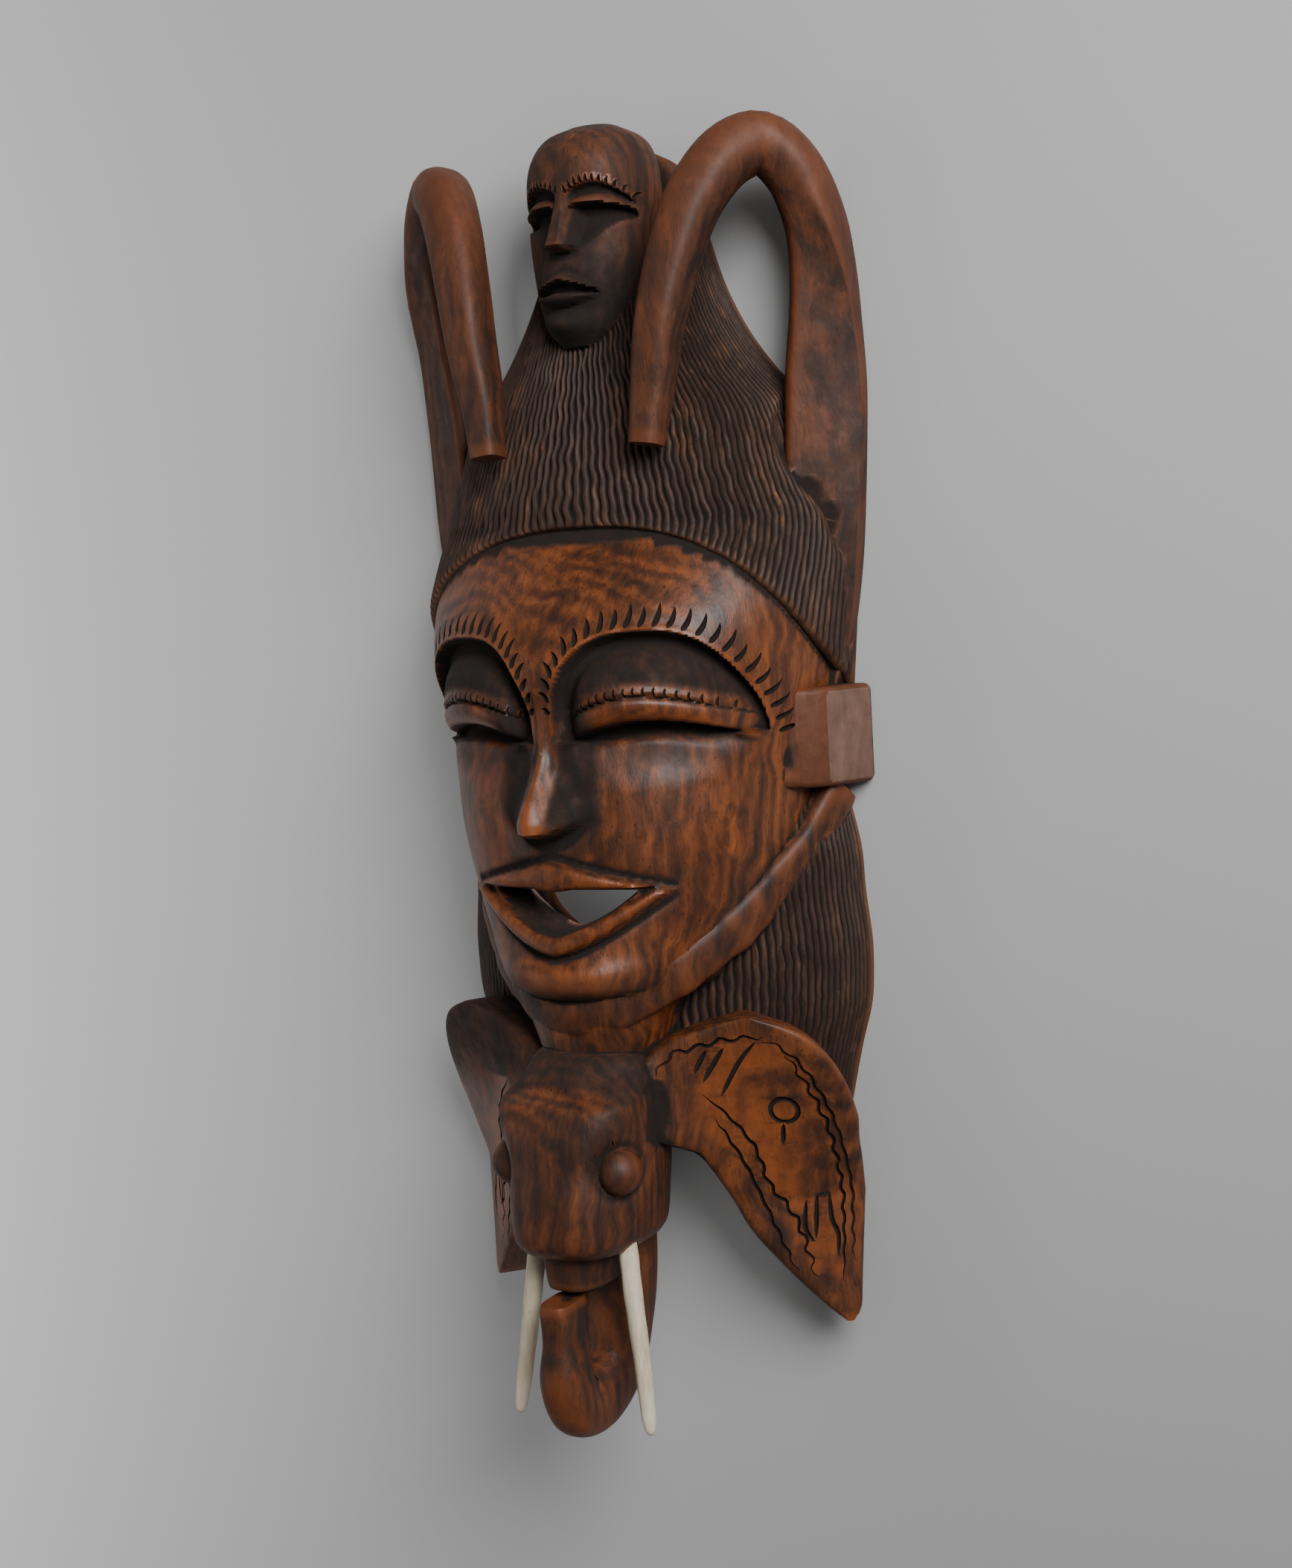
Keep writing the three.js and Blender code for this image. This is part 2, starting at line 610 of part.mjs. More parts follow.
// The root of the trunk under the snout, which narrows down to the risen tip.
function underJaw() {
  const [topY, footY] = [snoutY + 12, snoutY - 18.3];
  const heightAt = (share) => topY + (footY - topY) * share;
  return solid(loft(12, 3, (turn, share) => {
    const [frontZ, backZ] = [(0.925 - 0.023 * share) * elephantFront, 60];
    const halfWidth = underJawHalfWidth * (1 - 0.27 * share);
    const [x, z] = oval(turn, halfWidth, (frontZ - backZ) / 2, 3);
    return [x, heightAt(share), (frontZ + backZ) / 2 + z];
  }, (share) => [0, heightAt(share), 90]));
}

// The trunk hangs behind, bends under and rises again in front, so it leaves a slot.
function trunk() {
  const keys = [[108, 74], [79, 72], [49, 74], [28, 80], [17, 96], [18, 113], [32, 121],
    [51, 120], [71, 120.5]];
  const path = new THREE.CatmullRomCurve3(
    keys.map(([up, z]) => new THREE.Vector3(0, trunkTipY + up, z)), false, "centripetal");
  const [wide, risen] = [trunkHalfWidth, risenTrunkHalfWidth];
  const size = profile([
    [0, wide, 22, 2.6], [0.25, 0.95 * wide, 18, 2.6], [0.45, 0.75 * wide, 16, 2.6],
    [0.6, 0.65 * wide, 16, 2.6], [0.7, 1.08 * risen, 15.5, 2.4], [0.8, 1.04 * risen, 14, 2.5],
    [0.88, 0.78 * risen, 12, 3.2], [0.94, 0.72 * risen, 12.2, 3.6], [1, 0.74 * risen, 12.4, 3.6],
  ]);
  const sideways = new THREE.Vector3(1, 0, 0);
  return solid(sweep(path, 12, 17, () => sideways, (turn, share) => {
    const [across, out] = oval(turn, ...size(share));
    return [out, across];
  }));
}

// An ear plate: an arched top, a straight outer side and a long cut back to the head.
function elephantEar(side) {
  const shares = profile([
    [0, 0.65, 0.7], [0.03, 0.5, 0.815], [0.07, 0.37, 0.895], [0.14, 0.27, 0.955],
    [0.23, 0.23, 0.99], [0.34, 0.22, 1], [0.385, 0.305, 0.99], [0.42, 0.42, 0.98],
    [0.49, 0.48, 0.975], [0.6, 0.545, 0.955], [0.7, 0.595, 0.95], [0.8, 0.675, 0.94],
    [0.9, 0.765, 0.93], [0.97, 0.835, 0.92], [1, 0.87, 0.895],
  ]);
  const edges = (place) => shares(place).map((share) => share * earReach);
  const length = earTopY - earTipY;
  const slope = new THREE.Vector2(1, -0.9).normalize();
  return solid(loft(8, 18, (turn, share) => {
    const place = share ** 1.25;
    const [inner, outer] = edges(place);
    const y = earTopY - length * place;
    const [across, out] = oval(turn, (outer - inner) / 2, earThickness / 2, 5);
    const x = (inner + outer) / 2 + across - (out - earThickness / 2) * slope.y;
    const z = earFront(x, y) + (out - earThickness / 2) / slope.x;
    return [side * x, y, z];
  }, (share) => {
    const [inner, outer] = edges(share);
    const x = (inner + outer) / 2;
    const y = earTopY - length * share;
    return [side * x, y, earFront(x, y) - earThickness / 2];
  }));
}

// The front of an ear: it slopes back from the head, and its upper rim curls forward.
function earFront(x, y) {
  const out = clamp((x - 35) / 65, 0, 1.3);
  const curl = 0.42 * clamp(y - (earTopY - 92), 0, 95);
  return 85 - 0.9 * (x - 35) + curl * out;
}

// A tusk's axis: from its root in the cheek to its tip beside the trunk.
function tuskFrame(side) {
  const root = new THREE.Vector3(side * 23, snoutY + tuskSocketDepth, 99.5);
  const along = new THREE.Vector3(side * 9.5, -70, 6.5).normalize();
  return { root, along };
}

function tusk(side) {
  const { root, along } = tuskFrame(side);
  const outward = new THREE.Vector3(0, 0, 1);
  const path = new THREE.LineCurve3(root, root.clone().addScaledVector(along, tuskLength));
  const size = profile([[0, 0.9], [0.15, 1], [0.6, 0.8], [0.92, 0.5], [1, 0]]);
  return solid(sweep(path, 8, 7, () => outward, (turn, share) => {
    const radius = tuskTipRadius + (tuskRadius - tuskTipRadius) * size(share)[0];
    return oval(turn, radius, radius * 1.1);
  }));
}

function tuskSocket(side) {
  const { root, along } = tuskFrame(side);
  const start = root.clone().addScaledVector(along, -fitGap);
  const path = new THREE.LineCurve3(start, start.clone().addScaledVector(along, tuskLength / 3));
  const radius = tuskRadius + fitGap;
  return solid(sweep(path, 12, 1, () => new THREE.Vector3(0, 0, 1),
    (turn) => oval(turn, radius * 1.04, radius * 1.14)));
}

function maskBody() {
  const carved = [face(), hairCone(), backHair(), smallHead(), strap(), neck(), elephantHead(),
    underJaw(), trunk()];
  for (const side of mirrored) {
    carved.push(horn(side), earBlock(side), elephantEye(side), elephantEar(side));
  }
  const cuts = [hollow(), mouthOpening()];
  for (const side of mirrored) {
    cuts.push(tuskSocket(side));
    for (let i = 0; i < browNotches; i += 1) cuts.push(browNotch(side, i));
  }
  const behind = new THREE.BoxGeometry(3 * hornReach, 3 * crownY, faceDepth);
  behind.translate(0, 0, -faceDepth / 2);
  cuts.push(solid(mergedPlain(behind)));
  return wasm.Manifold.union(carved).subtract(wasm.Manifold.union(cuts)).simplify(0.12);
}

function geometryOf(body) {
  const { vertProperties, triVerts } = body.getMesh();
  const geometry = new THREE.BufferGeometry();
  geometry.setAttribute("position", new THREE.BufferAttribute(new Float32Array(vertProperties), 3));
  geometry.setIndex(new THREE.BufferAttribute(new Uint32Array(triVerts), 1));
  geometry.computeVertexNormals();
  return geometry;
}

function piece(name, body, colour, roughness) {
  const material = new THREE.MeshStandardMaterial({ color: colour, roughness, metalness: 0 });
  const mesh = new THREE.Mesh(geometryOf(body), material);
  mesh.name = name;
  return mesh;
}

const mask = new THREE.Group();
mask.add(piece("mask_body", maskBody(), 0x5a2a14, 0.4));
mask.add(piece("tusk_left", tusk(-1), 0xd8cdb4, 0.55));
mask.add(piece("tusk_right", tusk(1), 0xd8cdb4, 0.55));

export default mask;
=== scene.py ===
"""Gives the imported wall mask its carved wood, its two bone tusks and a plain studio.

Lengths inside the carving functions are millimetres, as on a carver's drawing, and MM turns
them into the frame's metres. +X is the viewer's right, +Y runs up the mask, +Z is its front.
"""

import json
import math

import bmesh
import bpy
import numpy as np
from bpy.props import FloatProperty, FloatVectorProperty, IntProperty, PointerProperty
from mathutils import Matrix, Vector

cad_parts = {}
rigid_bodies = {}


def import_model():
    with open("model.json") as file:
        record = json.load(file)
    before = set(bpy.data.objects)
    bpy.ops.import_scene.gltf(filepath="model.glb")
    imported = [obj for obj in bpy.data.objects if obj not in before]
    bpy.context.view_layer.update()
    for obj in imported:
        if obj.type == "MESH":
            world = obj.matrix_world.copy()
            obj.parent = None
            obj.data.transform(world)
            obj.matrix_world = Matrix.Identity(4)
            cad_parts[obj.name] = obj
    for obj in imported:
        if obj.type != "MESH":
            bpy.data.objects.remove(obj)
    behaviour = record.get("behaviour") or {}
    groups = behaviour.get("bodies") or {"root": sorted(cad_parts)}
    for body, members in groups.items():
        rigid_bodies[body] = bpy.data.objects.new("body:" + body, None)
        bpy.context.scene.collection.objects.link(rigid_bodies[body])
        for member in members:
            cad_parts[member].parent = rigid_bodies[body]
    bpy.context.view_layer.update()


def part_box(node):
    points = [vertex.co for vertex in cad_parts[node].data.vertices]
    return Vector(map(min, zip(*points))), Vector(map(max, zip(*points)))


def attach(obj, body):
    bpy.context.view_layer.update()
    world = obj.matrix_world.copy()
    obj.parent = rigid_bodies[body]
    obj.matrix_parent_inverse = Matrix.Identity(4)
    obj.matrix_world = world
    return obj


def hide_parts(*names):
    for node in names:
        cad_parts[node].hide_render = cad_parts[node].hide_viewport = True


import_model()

bl_info = {
    "name": "Carved Wall Mask",
    "version": (1, 0, 0),
    "blender": (4, 5, 0),
    "location": "3D View > Sidebar > Mask",
    "description": "Builds the carved body, the tusks and the studio of a wooden wall mask",
    "category": "Add Mesh",
}

MM = 0.001

_, BODY_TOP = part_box("mask_body")

# Levels along the length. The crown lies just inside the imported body.
CROWN_Y = BODY_TOP[1] / MM - 0.1
SMALL_CHIN_Y = 201
HAIRLINE_Y = 118
BROW_Y = 55
NOSE_TIP_Y = -13
MOUTH_Y = -46
CHIN_Y = -100
ELEPHANT_CROWN_Y = -121
ELEPHANT_EYE_Y = -173
SNOUT_Y = -212
TRUNK_TIP_Y = -304

# The face, measured from its flat back.
FACE_HALF_WIDTH = 108
FACE_DEPTH = 113
FACE_ROUNDNESS = 2.2
NOSE_HEIGHT = 21
NOSE_HALF_WIDTH = 24
NOSE_UNDERCUT = 11
NOSE_FOOT_RISE = 9
SOCKET_HALF_WIDTH = 41
SOCKET_HEIGHT = 48.5
SOCKET_LOWER_SHARE = 0.5
SOCKET_X = 46
SOCKET_Y = 22
LID_BOW_WIDTH = 35
LID_TOP_RISE = 41
LID_RIM_HEIGHT = 2.4
LID_EDGE_RISE = 8.5
LID_EDGE_BOW = 9
LASH_RISE = 19
LASH_BOW = 10.5
LASH_HEIGHT = 1.3
LASH_GROOVE_DEPTH = 1.5
SLIT_DEPTH = 4.2
MOUTH_HALF_WIDTH = 54
UPPER_LIP_RISE = 14
LOWER_LIP_DROP = 30
MOUTH_OPENING_DROP = 21
LIP_CREASE_DEPTH = 1.6
CHIN_HEIGHT = 3.5
WALL = 17
HOLLOW_HALF_WIDTH = 84
HOLLOW_TOP_Y = 108
HOLLOW_BOTTOM_Y = -90

# The hair.
HAIR_HALF_WIDTH = 111
HAIR_DEPTH = 73
HAIRLINE_DROP = 80
BACK_HAIR_HALF_WIDTH = 109
BACK_HAIR_DEPTH = 65
BACK_HAIR_TOP_Y = 10
BACK_HAIR_BOTTOM_Y = -166

# The small head, the horns, the ear blocks and the strap.
SMALL_HEAD_HALF_WIDTH = 31
SMALL_HEAD_FRONT = 70
SMALL_HEAD_MIDDLE = 32
SMALL_HEAD_ROUNDNESS = 2.3
SMALL_BROW_Y = 263
SMALL_EYE_X = 14.5
SMALL_EYE_HALF_WIDTH = 15.2
SMALL_NOSE_TOP_Y = 269
SMALL_NOSE_FOOT_Y = 246
SMALL_MOUTH_Y = 230
HORN_ARCH_RADIUS = 14
HORN_ARM_RADIUS = 12.5
HORN_TIP_RADIUS = 8
HORN_STEM_HALF_WIDTH = 17
HORN_STEM_HALF_DEPTH = 15
HORN_STEM_SLOPE = 0.6
EAR_BLOCK_REACH = 116
LEFT_EAR_BLOCK_INSET = 6
EAR_BLOCK_DEPTH = 43
EAR_BLOCK_HEIGHT = 46
EAR_BLOCK_Y = 16
STRAP_HALF_WIDTH = 11
STRAP_THICKNESS = 7

# The elephant and its tusks.
ELEPHANT_HALF_WIDTH = 34
ELEPHANT_FRONT = 133
ELEPHANT_BACK = 52
ELEPHANT_EYE_RADIUS = 11
EAR_THICKNESS = 15
EAR_TOP_Y = -108
EAR_TIP_Y = -262
TRUNK_HALF_WIDTH = 19
RISEN_TRUNK_HALF_WIDTH = 10.5
TUSK_LENGTH = 95
TUSK_RADIUS = 4.4
TUSK_TIP_RADIUS = 2
TUSK_SOCKET_DEPTH = 9
FIT_GAP = 0.3

# The mask's finishes, in the order of their material slots.
FINISHES = ("waxed_wood", "grooved_hair", "ear_facet")
WAXED, HAIR, FACET = range(3)
SIDES = (-1, 1)


# Curves and skins


def ease(value, start, end):
    """0 before start, 1 after end, and smooth between them."""
    share = np.clip((value - start) / (end - start), 0, 1)
    return share * share * (3 - 2 * share)


def profile(*keys):
    """A smooth curve through keys of (place, value, ...), level beyond both ends."""
    table = np.array(keys, float)
    at, values = table[:, 0], table[:, 1:]
    order = np.arange(len(at))
    before, after = np.maximum(order - 1, 0), np.minimum(order + 1, len(at) - 1)
    slopes = (values[after] - values[before]) / (at[after] - at[before])[:, None]

    def curve(place):
        place = np.clip(np.asarray(place, float), at[0], at[-1])
        i = np.clip(np.searchsorted(at, place, side="right") - 1, 0, len(at) - 2)
        span = (at[i + 1] - at[i])[..., None]
        t = (place - at[i])[..., None] / span
        rise = values[i + 1] - values[i]
        bend = slopes[i] * span * (1 - t) - slopes[i + 1] * span * t + rise * (2 * t - 1)
        found = np.moveaxis(values[i] + rise * t + t * (1 - t) * bend, -1, 0)
        return found[0] if len(found) == 1 else found

    return curve


def hump(value, middle, reach, power=2):
    """1 at the middle, and fading to nothing beyond the reach on both sides of it."""
    return np.exp(-(np.abs(value - middle) / reach) ** power)


def way(come, length):
    """How much of a length has been covered, from 0 to 1."""
    return np.clip(come / np.maximum(length, 1e-3), 0, 1)


def signed_power(value, exponent):
    return np.sign(value) * np.abs(value) ** exponent


def spread(start, *spans):
    """Places from start on, with a number of even steps to the end of each span."""
    places = [np.array([float(start)])]
    for end, count in spans:
        places.append(np.linspace(places[-1][-1], end, count + 1)[1:])
    return np.concatenate(places)


def unit(vectors):
    return vectors / np.maximum(np.linalg.norm(vectors, axis=-1, keepdims=True), 1e-9)


def oval(turn, half_width, half_depth, roundness=2.0):
    """A superellipse: a roundness of 2 is an ellipse, and a higher one is squarer."""
    angle = 2 * math.pi * turn
    across = signed_power(np.cos(angle), 2 / roundness)
    out = signed_power(np.sin(angle), 2 / roundness)
    return half_width * across, half_depth * out


def half_oval(turn, half_width, depth, roundness, sides, focus=0.0):
    """The front half of an oval on a flat back. A focus draws the columns to the middle."""
    front_share = (sides - 2) / sides
    even = np.minimum(turn / front_share, 1)
    share = even + focus * np.sin(2 * math.pi * even) / (2 * math.pi)
    x, z = oval(share / 2, half_width, depth, roundness)
    behind = turn > front_share + 1e-9
    back_x = half_width * (2 * (turn - front_share) / (1 - front_share) - 1)
    return np.where(behind, back_x, x), np.where(behind, 0, np.maximum(z, 0))


class Route:
    """A smooth curve through points, walked by shares of its length."""

    STEPS = 40

    def __init__(self, points):
        knots = np.array(points, float)
        knots = np.vstack([2 * knots[0] - knots[1], knots, 2 * knots[-1] - knots[-2]])
        t = np.linspace(0, 1, self.STEPS, endpoint=False)[:, None]
        walked = []
        for a, b, c, d in zip(knots, knots[1:], knots[2:], knots[3:]):
            before, here, after = (
                max(np.linalg.norm(q - p) ** 0.5, 1e-4) for p, q in ((a, b), (b, c), (c, d)))
            leave = (b - a) / before - (c - a) / (before + here) + (c - b) / here
            arrive = (c - b) / here - (d - b) / (here + after) + (d - c) / after
            bend = leave * here * (1 - t) - arrive * here * t + (c - b) * (2 * t - 1)
            walked.append(b + (c - b) * t + t * (1 - t) * bend)
        walked.append(knots[-2][None])
        self.points = np.vstack(walked)
        steps = np.linalg.norm(np.diff(self.points, axis=0), axis=1)
        self.shares = np.concatenate([[0], np.cumsum(steps)])
        self.length = self.shares[-1]
        self.shares /= self.length

    def at(self, share):
        return np.stack([np.interp(share, self.shares, axis) for axis in self.points.T], -1)

    def along(self, share):
        reach = 0.004
        ahead, behind = np.clip(share + reach, 0, 1), np.clip(share - reach, 0, 1)
        return unit(self.at(ahead) - self.at(behind))


def piece_from(bm, name, finish=WAXED, stain_and_shade=0.0):
    """A closed object of the mask's finishes from a bmesh in millimetres.

    stain_and_shade is how dark stains and painted shade make its surface, unless the mesh has its
    own.
    """
    bmesh.ops.recalc_face_normals(bm, faces=bm.faces)
    mesh = bpy.data.meshes.new(name)
    bm.to_mesh(mesh)
    bm.free()
    if "stain_and_shade" not in mesh.attributes:
        store(mesh, "stain_and_shade", np.full(len(mesh.vertices), stain_and_shade))
    mesh.polygons.foreach_set("material_index", [finish] * len(mesh.polygons))
    for material in FINISHES:
        mesh.materials.append(bpy.data.materials.get(material))
    return bpy.data.objects.new(name, mesh)


def store(mesh, name, values):
    layer = mesh.attributes.new(name, "FLOAT", "POINT")
    layer.data.foreach_set("value", values.astype(np.float32))


def read(items, name, width, kind=np.float32):
    """One property of all vertices or edges, as rows."""
    values = np.empty(len(items) * width, kind)
    items.foreach_get(name, values)
    return values.reshape(-1, width)


def points_of(mesh):
    return read(mesh.vertices, "co", 3).astype(float)


def loft(name, sides, rows, place, finish=WAXED, stain_and_shade=0.0):
    """A closed skin of rings, rolled up from a grid, with both ends filled.

    place(turn, share) gives x, y, z at a share of one turn and a share of the way along, and
    may add a fourth value for stains and painted shade.
    """
    bm = bmesh.new()
    bmesh.ops.create_grid(bm, x_segments=sides, y_segments=rows, size=0.5)
    flat = bpy.data.meshes.new("flat_grid")
    bm.to_mesh(flat)
    bm.free()
    grid = points_of(flat)
    turn = np.rint((grid[:, 0] + 0.5) * sides) % sides / sides
    share = np.rint((grid[:, 1] + 0.5) * rows) / rows
    placed = np.stack(np.broadcast_arrays(*place(turn, share)), -1)
    flat.vertices.foreach_set("co", placed[:, :3].astype(np.float32).ravel())
    if placed.shape[1] == 4:
        store(flat, "stain_and_shade", placed[:, 3])
    bm = bmesh.new()
    bm.from_mesh(flat)
    bpy.data.meshes.remove(flat)
    bmesh.ops.remove_doubles(bm, verts=bm.verts, dist=2e-4)
    bmesh.ops.holes_fill(bm, edges=bm.edges, sides=0)
    return piece_from(bm, name, finish, stain_and_shade)


def sweep(name, route, sides, rows, outward, section, finish=WAXED, stain_and_shade=0.0):
    """A loft along a route. section(turn, share) gives the way across and out from it."""

    def place(turn, share):
        along = route.along(share)
        side = unit(np.cross(along, outward(share)))
        out = np.cross(side, along)
        across, up = section(turn, share)
        return (route.at(share) + side * across[:, None] + out * up[:, None]).T

    return loft(name, sides, rows, place, finish, stain_and_shade)


def facing(*vector):
    """The same way out all along a sweep."""
    return lambda share: np.broadcast_to(np.array(vector, float), (len(share), 3))


# The face


face_sections = profile(
    (0, 0.46, 0.85), (0.03, 0.56, 0.95), (0.07, 0.62, 0.97), (0.13, 0.69, 0.95),
    (0.21, 0.76, 0.94), (0.36, 0.84, 0.95), (0.5, 0.87, 0.95), (0.62, 0.91, 0.965),
    (0.71, 0.94, 1), (0.8, 0.97, 0.93), (0.88, 0.99, 0.8), (0.96, 0.99, 0.665),
    (1, 0.96, 0.6), (1.075, 0.8, 0.45))


def face_section(y):
    width, depth = face_sections((y - CHIN_Y) / (HAIRLINE_Y - CHIN_Y))
    return width * FACE_HALF_WIDTH, depth * FACE_DEPTH


def face_front(x, y):
    """The plain face's front at a point of its plan."""
    half_width, depth = face_section(y)
    side = np.clip(np.abs(x) / half_width, 0, 1)
    return depth * (1 - side ** FACE_ROUNDNESS) ** (1 / FACE_ROUNDNESS)


def socket_reach(x, y):
    """How far out from the middle of an eye socket a point lies: 1 is the socket's edge."""
    across = np.abs((np.abs(x) - SOCKET_X) / SOCKET_HALF_WIDTH)
    up = (y - SOCKET_Y) / SOCKET_HEIGHT
    rise = np.where(up > 0, up, -up / SOCKET_LOWER_SHARE)
    return (across ** 2.6 + rise ** 2.2) ** (1 / 2.4)


def lid_lines(x):
    """A closed lid's top, its lash line and its lower edge, and how much room it has there."""
    across = np.abs(np.abs(x) - SOCKET_X)
    room = (1 - np.clip(across / (0.95 * SOCKET_HALF_WIDTH), 0, 1) ** 2.4) ** 0.5
    bow = (across / LID_BOW_WIDTH) ** 2
    top = SOCKET_Y + LID_TOP_RISE * room
    lash = SOCKET_Y + LASH_RISE - LASH_BOW * bow
    edge = SOCKET_Y + LID_EDGE_RISE - LID_EDGE_BOW * bow
    return top, lash, edge, room


def lid_relief(x, y, height):
    """The lid's dome, the lashes, the rim below them and the sharp drop under the rim."""
    top, lash, edge, room = lid_lines(x)
    down = way(top - y, top - lash)
    dome = height * room ** 0.6 * np.sin(0.5 * math.pi * down) ** 0.85
    over_rim = way(lash - y, lash - edge)
    rim = LID_RIM_HEIGHT * np.sin(math.pi * over_rim ** 0.8) ** 0.7
    groove = LASH_GROOVE_DEPTH * hump(y, lash, 0.8)
    lashes = LASH_HEIGHT * ease(y, lash + 0.2, lash + 1.2) * (1 - ease(y, lash + 3, lash + 4.6))
    corner = ease(np.abs(np.abs(x) - SOCKET_X) / SOCKET_HALF_WIDTH, 0.6, 0.93)
    under = ease(y, edge - 1.6 - 3 * corner, edge + 0.2)
    shaped = dome * (1 - 0.85 * corner) + (rim - groove + lashes) * (1 - corner)
    return np.where(room > 0, shaped * under, 0)


def eye_relief(x, y, sizes):
    """The lid in its socket, with the brow's rim above it and the slit below it."""
    reach = socket_reach(x, y)
    wall = np.where(y > SOCKET_Y, 0.06, 0.86)
    depth = sizes.socket_depth / MM * (1 - ease(reach, 1 - wall, 1))
    brow_rim = 0.8 * hump(reach, 1.02, 0.02) * ease(y, SOCKET_Y, SOCKET_Y + 20)
    _, _, edge, room = lid_lines(x)
    depth = depth * (1 - 0.5 * ease(edge - y, 2, 11))
    slit = SLIT_DEPTH * hump(y, edge - 3.4, 4.6) * room ** 3
    return lid_relief(x, y, sizes.lid_height / MM) - depth + brow_rim - slit


def eye_painted_shade(x, y):
    """Painted shade under the brow, over the lid, on the lid and in the lash groove, and a painted
    shadow below the lid.
    """
    reach = socket_reach(x, y)
    top, lash, edge, room = lid_lines(x)
    inside = reach < 1
    under_brow = (ease(reach, 0.8, 0.9) * (1 - ease(reach, 0.975, 1.0))
                  * ease(y, SOCKET_Y + 3, SOCKET_Y + 12))
    over_lid = 0.6 * ease(y, top - 9, top + 1) * inside
    in_groove = 0.9 * hump(y, lash, 0.9) * (room > 0.2)
    below = room * inside * (1 - ease(y, edge - 1.2, edge + 0.4)) * (
        ease(y, edge - 13 * room, edge - 3))
    lid = 0.75 * ease(y, lash + 2, lash + 9) * (room > 0) * inside
    return np.clip(np.maximum.reduce([under_brow, over_lid, in_groove, below, lid]), 0, 1)


def lip_lines(x):
    """The lips' outer lines and the two lines of the mouth's opening."""
    across = np.clip(np.abs(x) / MOUTH_HALF_WIDTH, 0, 1)
    top = MOUTH_Y + UPPER_LIP_RISE * (1 - across ** 1.15)
    bottom = MOUTH_Y - LOWER_LIP_DROP * (1 - across ** 1.5)
    open_top = MOUTH_Y + 1 - 1.2 * hump(across, 0, 0.12)
    open_bottom = MOUTH_Y - MOUTH_OPENING_DROP * (1 - np.clip(across / 0.86, 0, 1) ** 1.4)
    return top, bottom, open_top, open_bottom


def lip_relief(x, y, height):
    """The swell of both lips, and the crease around them."""
    top, bottom, open_top, open_bottom = lip_lines(x)
    upper = y > open_top
    corner = 1 - ease(np.abs(x), 0.93 * MOUTH_HALF_WIDTH, 1.02 * MOUTH_HALF_WIDTH)
    share = np.where(upper, (top - y) / np.maximum(top - open_top, 1e-3),
                     (y - bottom) / np.maximum(open_bottom - bottom, 1e-3))
    swell = height * np.sin(math.pi * np.clip(0.13 + 0.7 * share, 0, 1)) ** 0.7
    outside = np.maximum(y - top, bottom - y)
    inside = ease(-outside, -1.6, 1.6)
    crease = LIP_CREASE_DEPTH * hump(np.maximum(outside, 0), 0, 3.2)
    return (swell * inside - crease * (1 - inside)) * corner


nose_shape = profile(
    (0, 0.05, 0.14, 0.3), (0.3, 0.08, 0.13, 0.4), (0.5, 0.16, 0.13, 0.62),
    (0.72, 0.55, 0.15, 0.85), (0.88, 0.86, 0.2, 1), (1, 1, 0.25, 1))


def nose_foot(x, widest=1.2):
    """The height of the nose's lower edge, which rises towards its sides."""
    across = np.minimum(np.abs(x) / NOSE_HALF_WIDTH, widest)
    return NOSE_TIP_Y + NOSE_FOOT_RISE * across ** 1.6


def nose_front(x, y):
    """A wedge with flat sides, a blunt ridge, a round tip and a flat underside."""
    nose_top_y = BROW_Y - 8
    down = (nose_top_y - y) / (nose_top_y - NOSE_TIP_Y)
    height, ridge, base = nose_shape(down)
    across = np.abs(x) / NOSE_HALF_WIDTH
    crown = face_front(np.zeros_like(x), y) + NOSE_HEIGHT * height
    side = np.clip((across - ridge) / (base - ridge), 0, 1)
    round_ridge = NOSE_HEIGHT * 0.18 * np.minimum(across / ridge, 1) ** 2
    under = ease(nose_foot(x, 1.0) - y, 0.45 * NOSE_UNDERCUT, NOSE_UNDERCUT)
    wedge = crown - round_ridge - side * (NOSE_HEIGHT * height + 4) - under * (NOSE_HEIGHT + 6)
    return np.where((down < 0) | (across > base), 0, wedge)


def chin_relief(x, y):
    beside = 1 - ease(np.abs(x), 8, 52)
    return CHIN_HEIGHT * (1 - ease(np.abs(y - CHIN_Y - 11), 4, 13)) * beside


def nose_crease(x, y):
    """The soft cut where the nose meets the cheeks and the upper lip."""
    off = np.maximum(np.abs(x) / NOSE_HALF_WIDTH - 0.8, 0) * 3
    return 0.9 * hump(y, nose_foot(x) - NOSE_UNDERCUT - 1, 4.5) * np.exp(-off ** 2)


def face_surface(x, y, sizes):
    """The carved front of the face: the higher of cheeks and nose, rounded where they meet."""
    relief = eye_relief(x, y, sizes) + lip_relief(x, y, sizes.lip_height / MM)
    relief += chin_relief(x, y) - nose_crease(x, y)
    half_width, _ = face_section(y)
    hold = 1 - ease(np.abs(x) / half_width, 0.86, 0.99)
    cheeks, nose = face_front(x, y) + relief * hold, nose_front(x, y)
    rounding = np.where(nose > 0, 3.0, 0)
    return 0.5 * (cheeks + nose + np.sqrt((cheeks - nose) ** 2 + rounding ** 2))


def hairline(lift):
    """The hairline's height, where the lift is 1 at the middle and 0 at the face's sides."""
    return HAIRLINE_Y - HAIRLINE_DROP * (1 - lift) ** 1.1


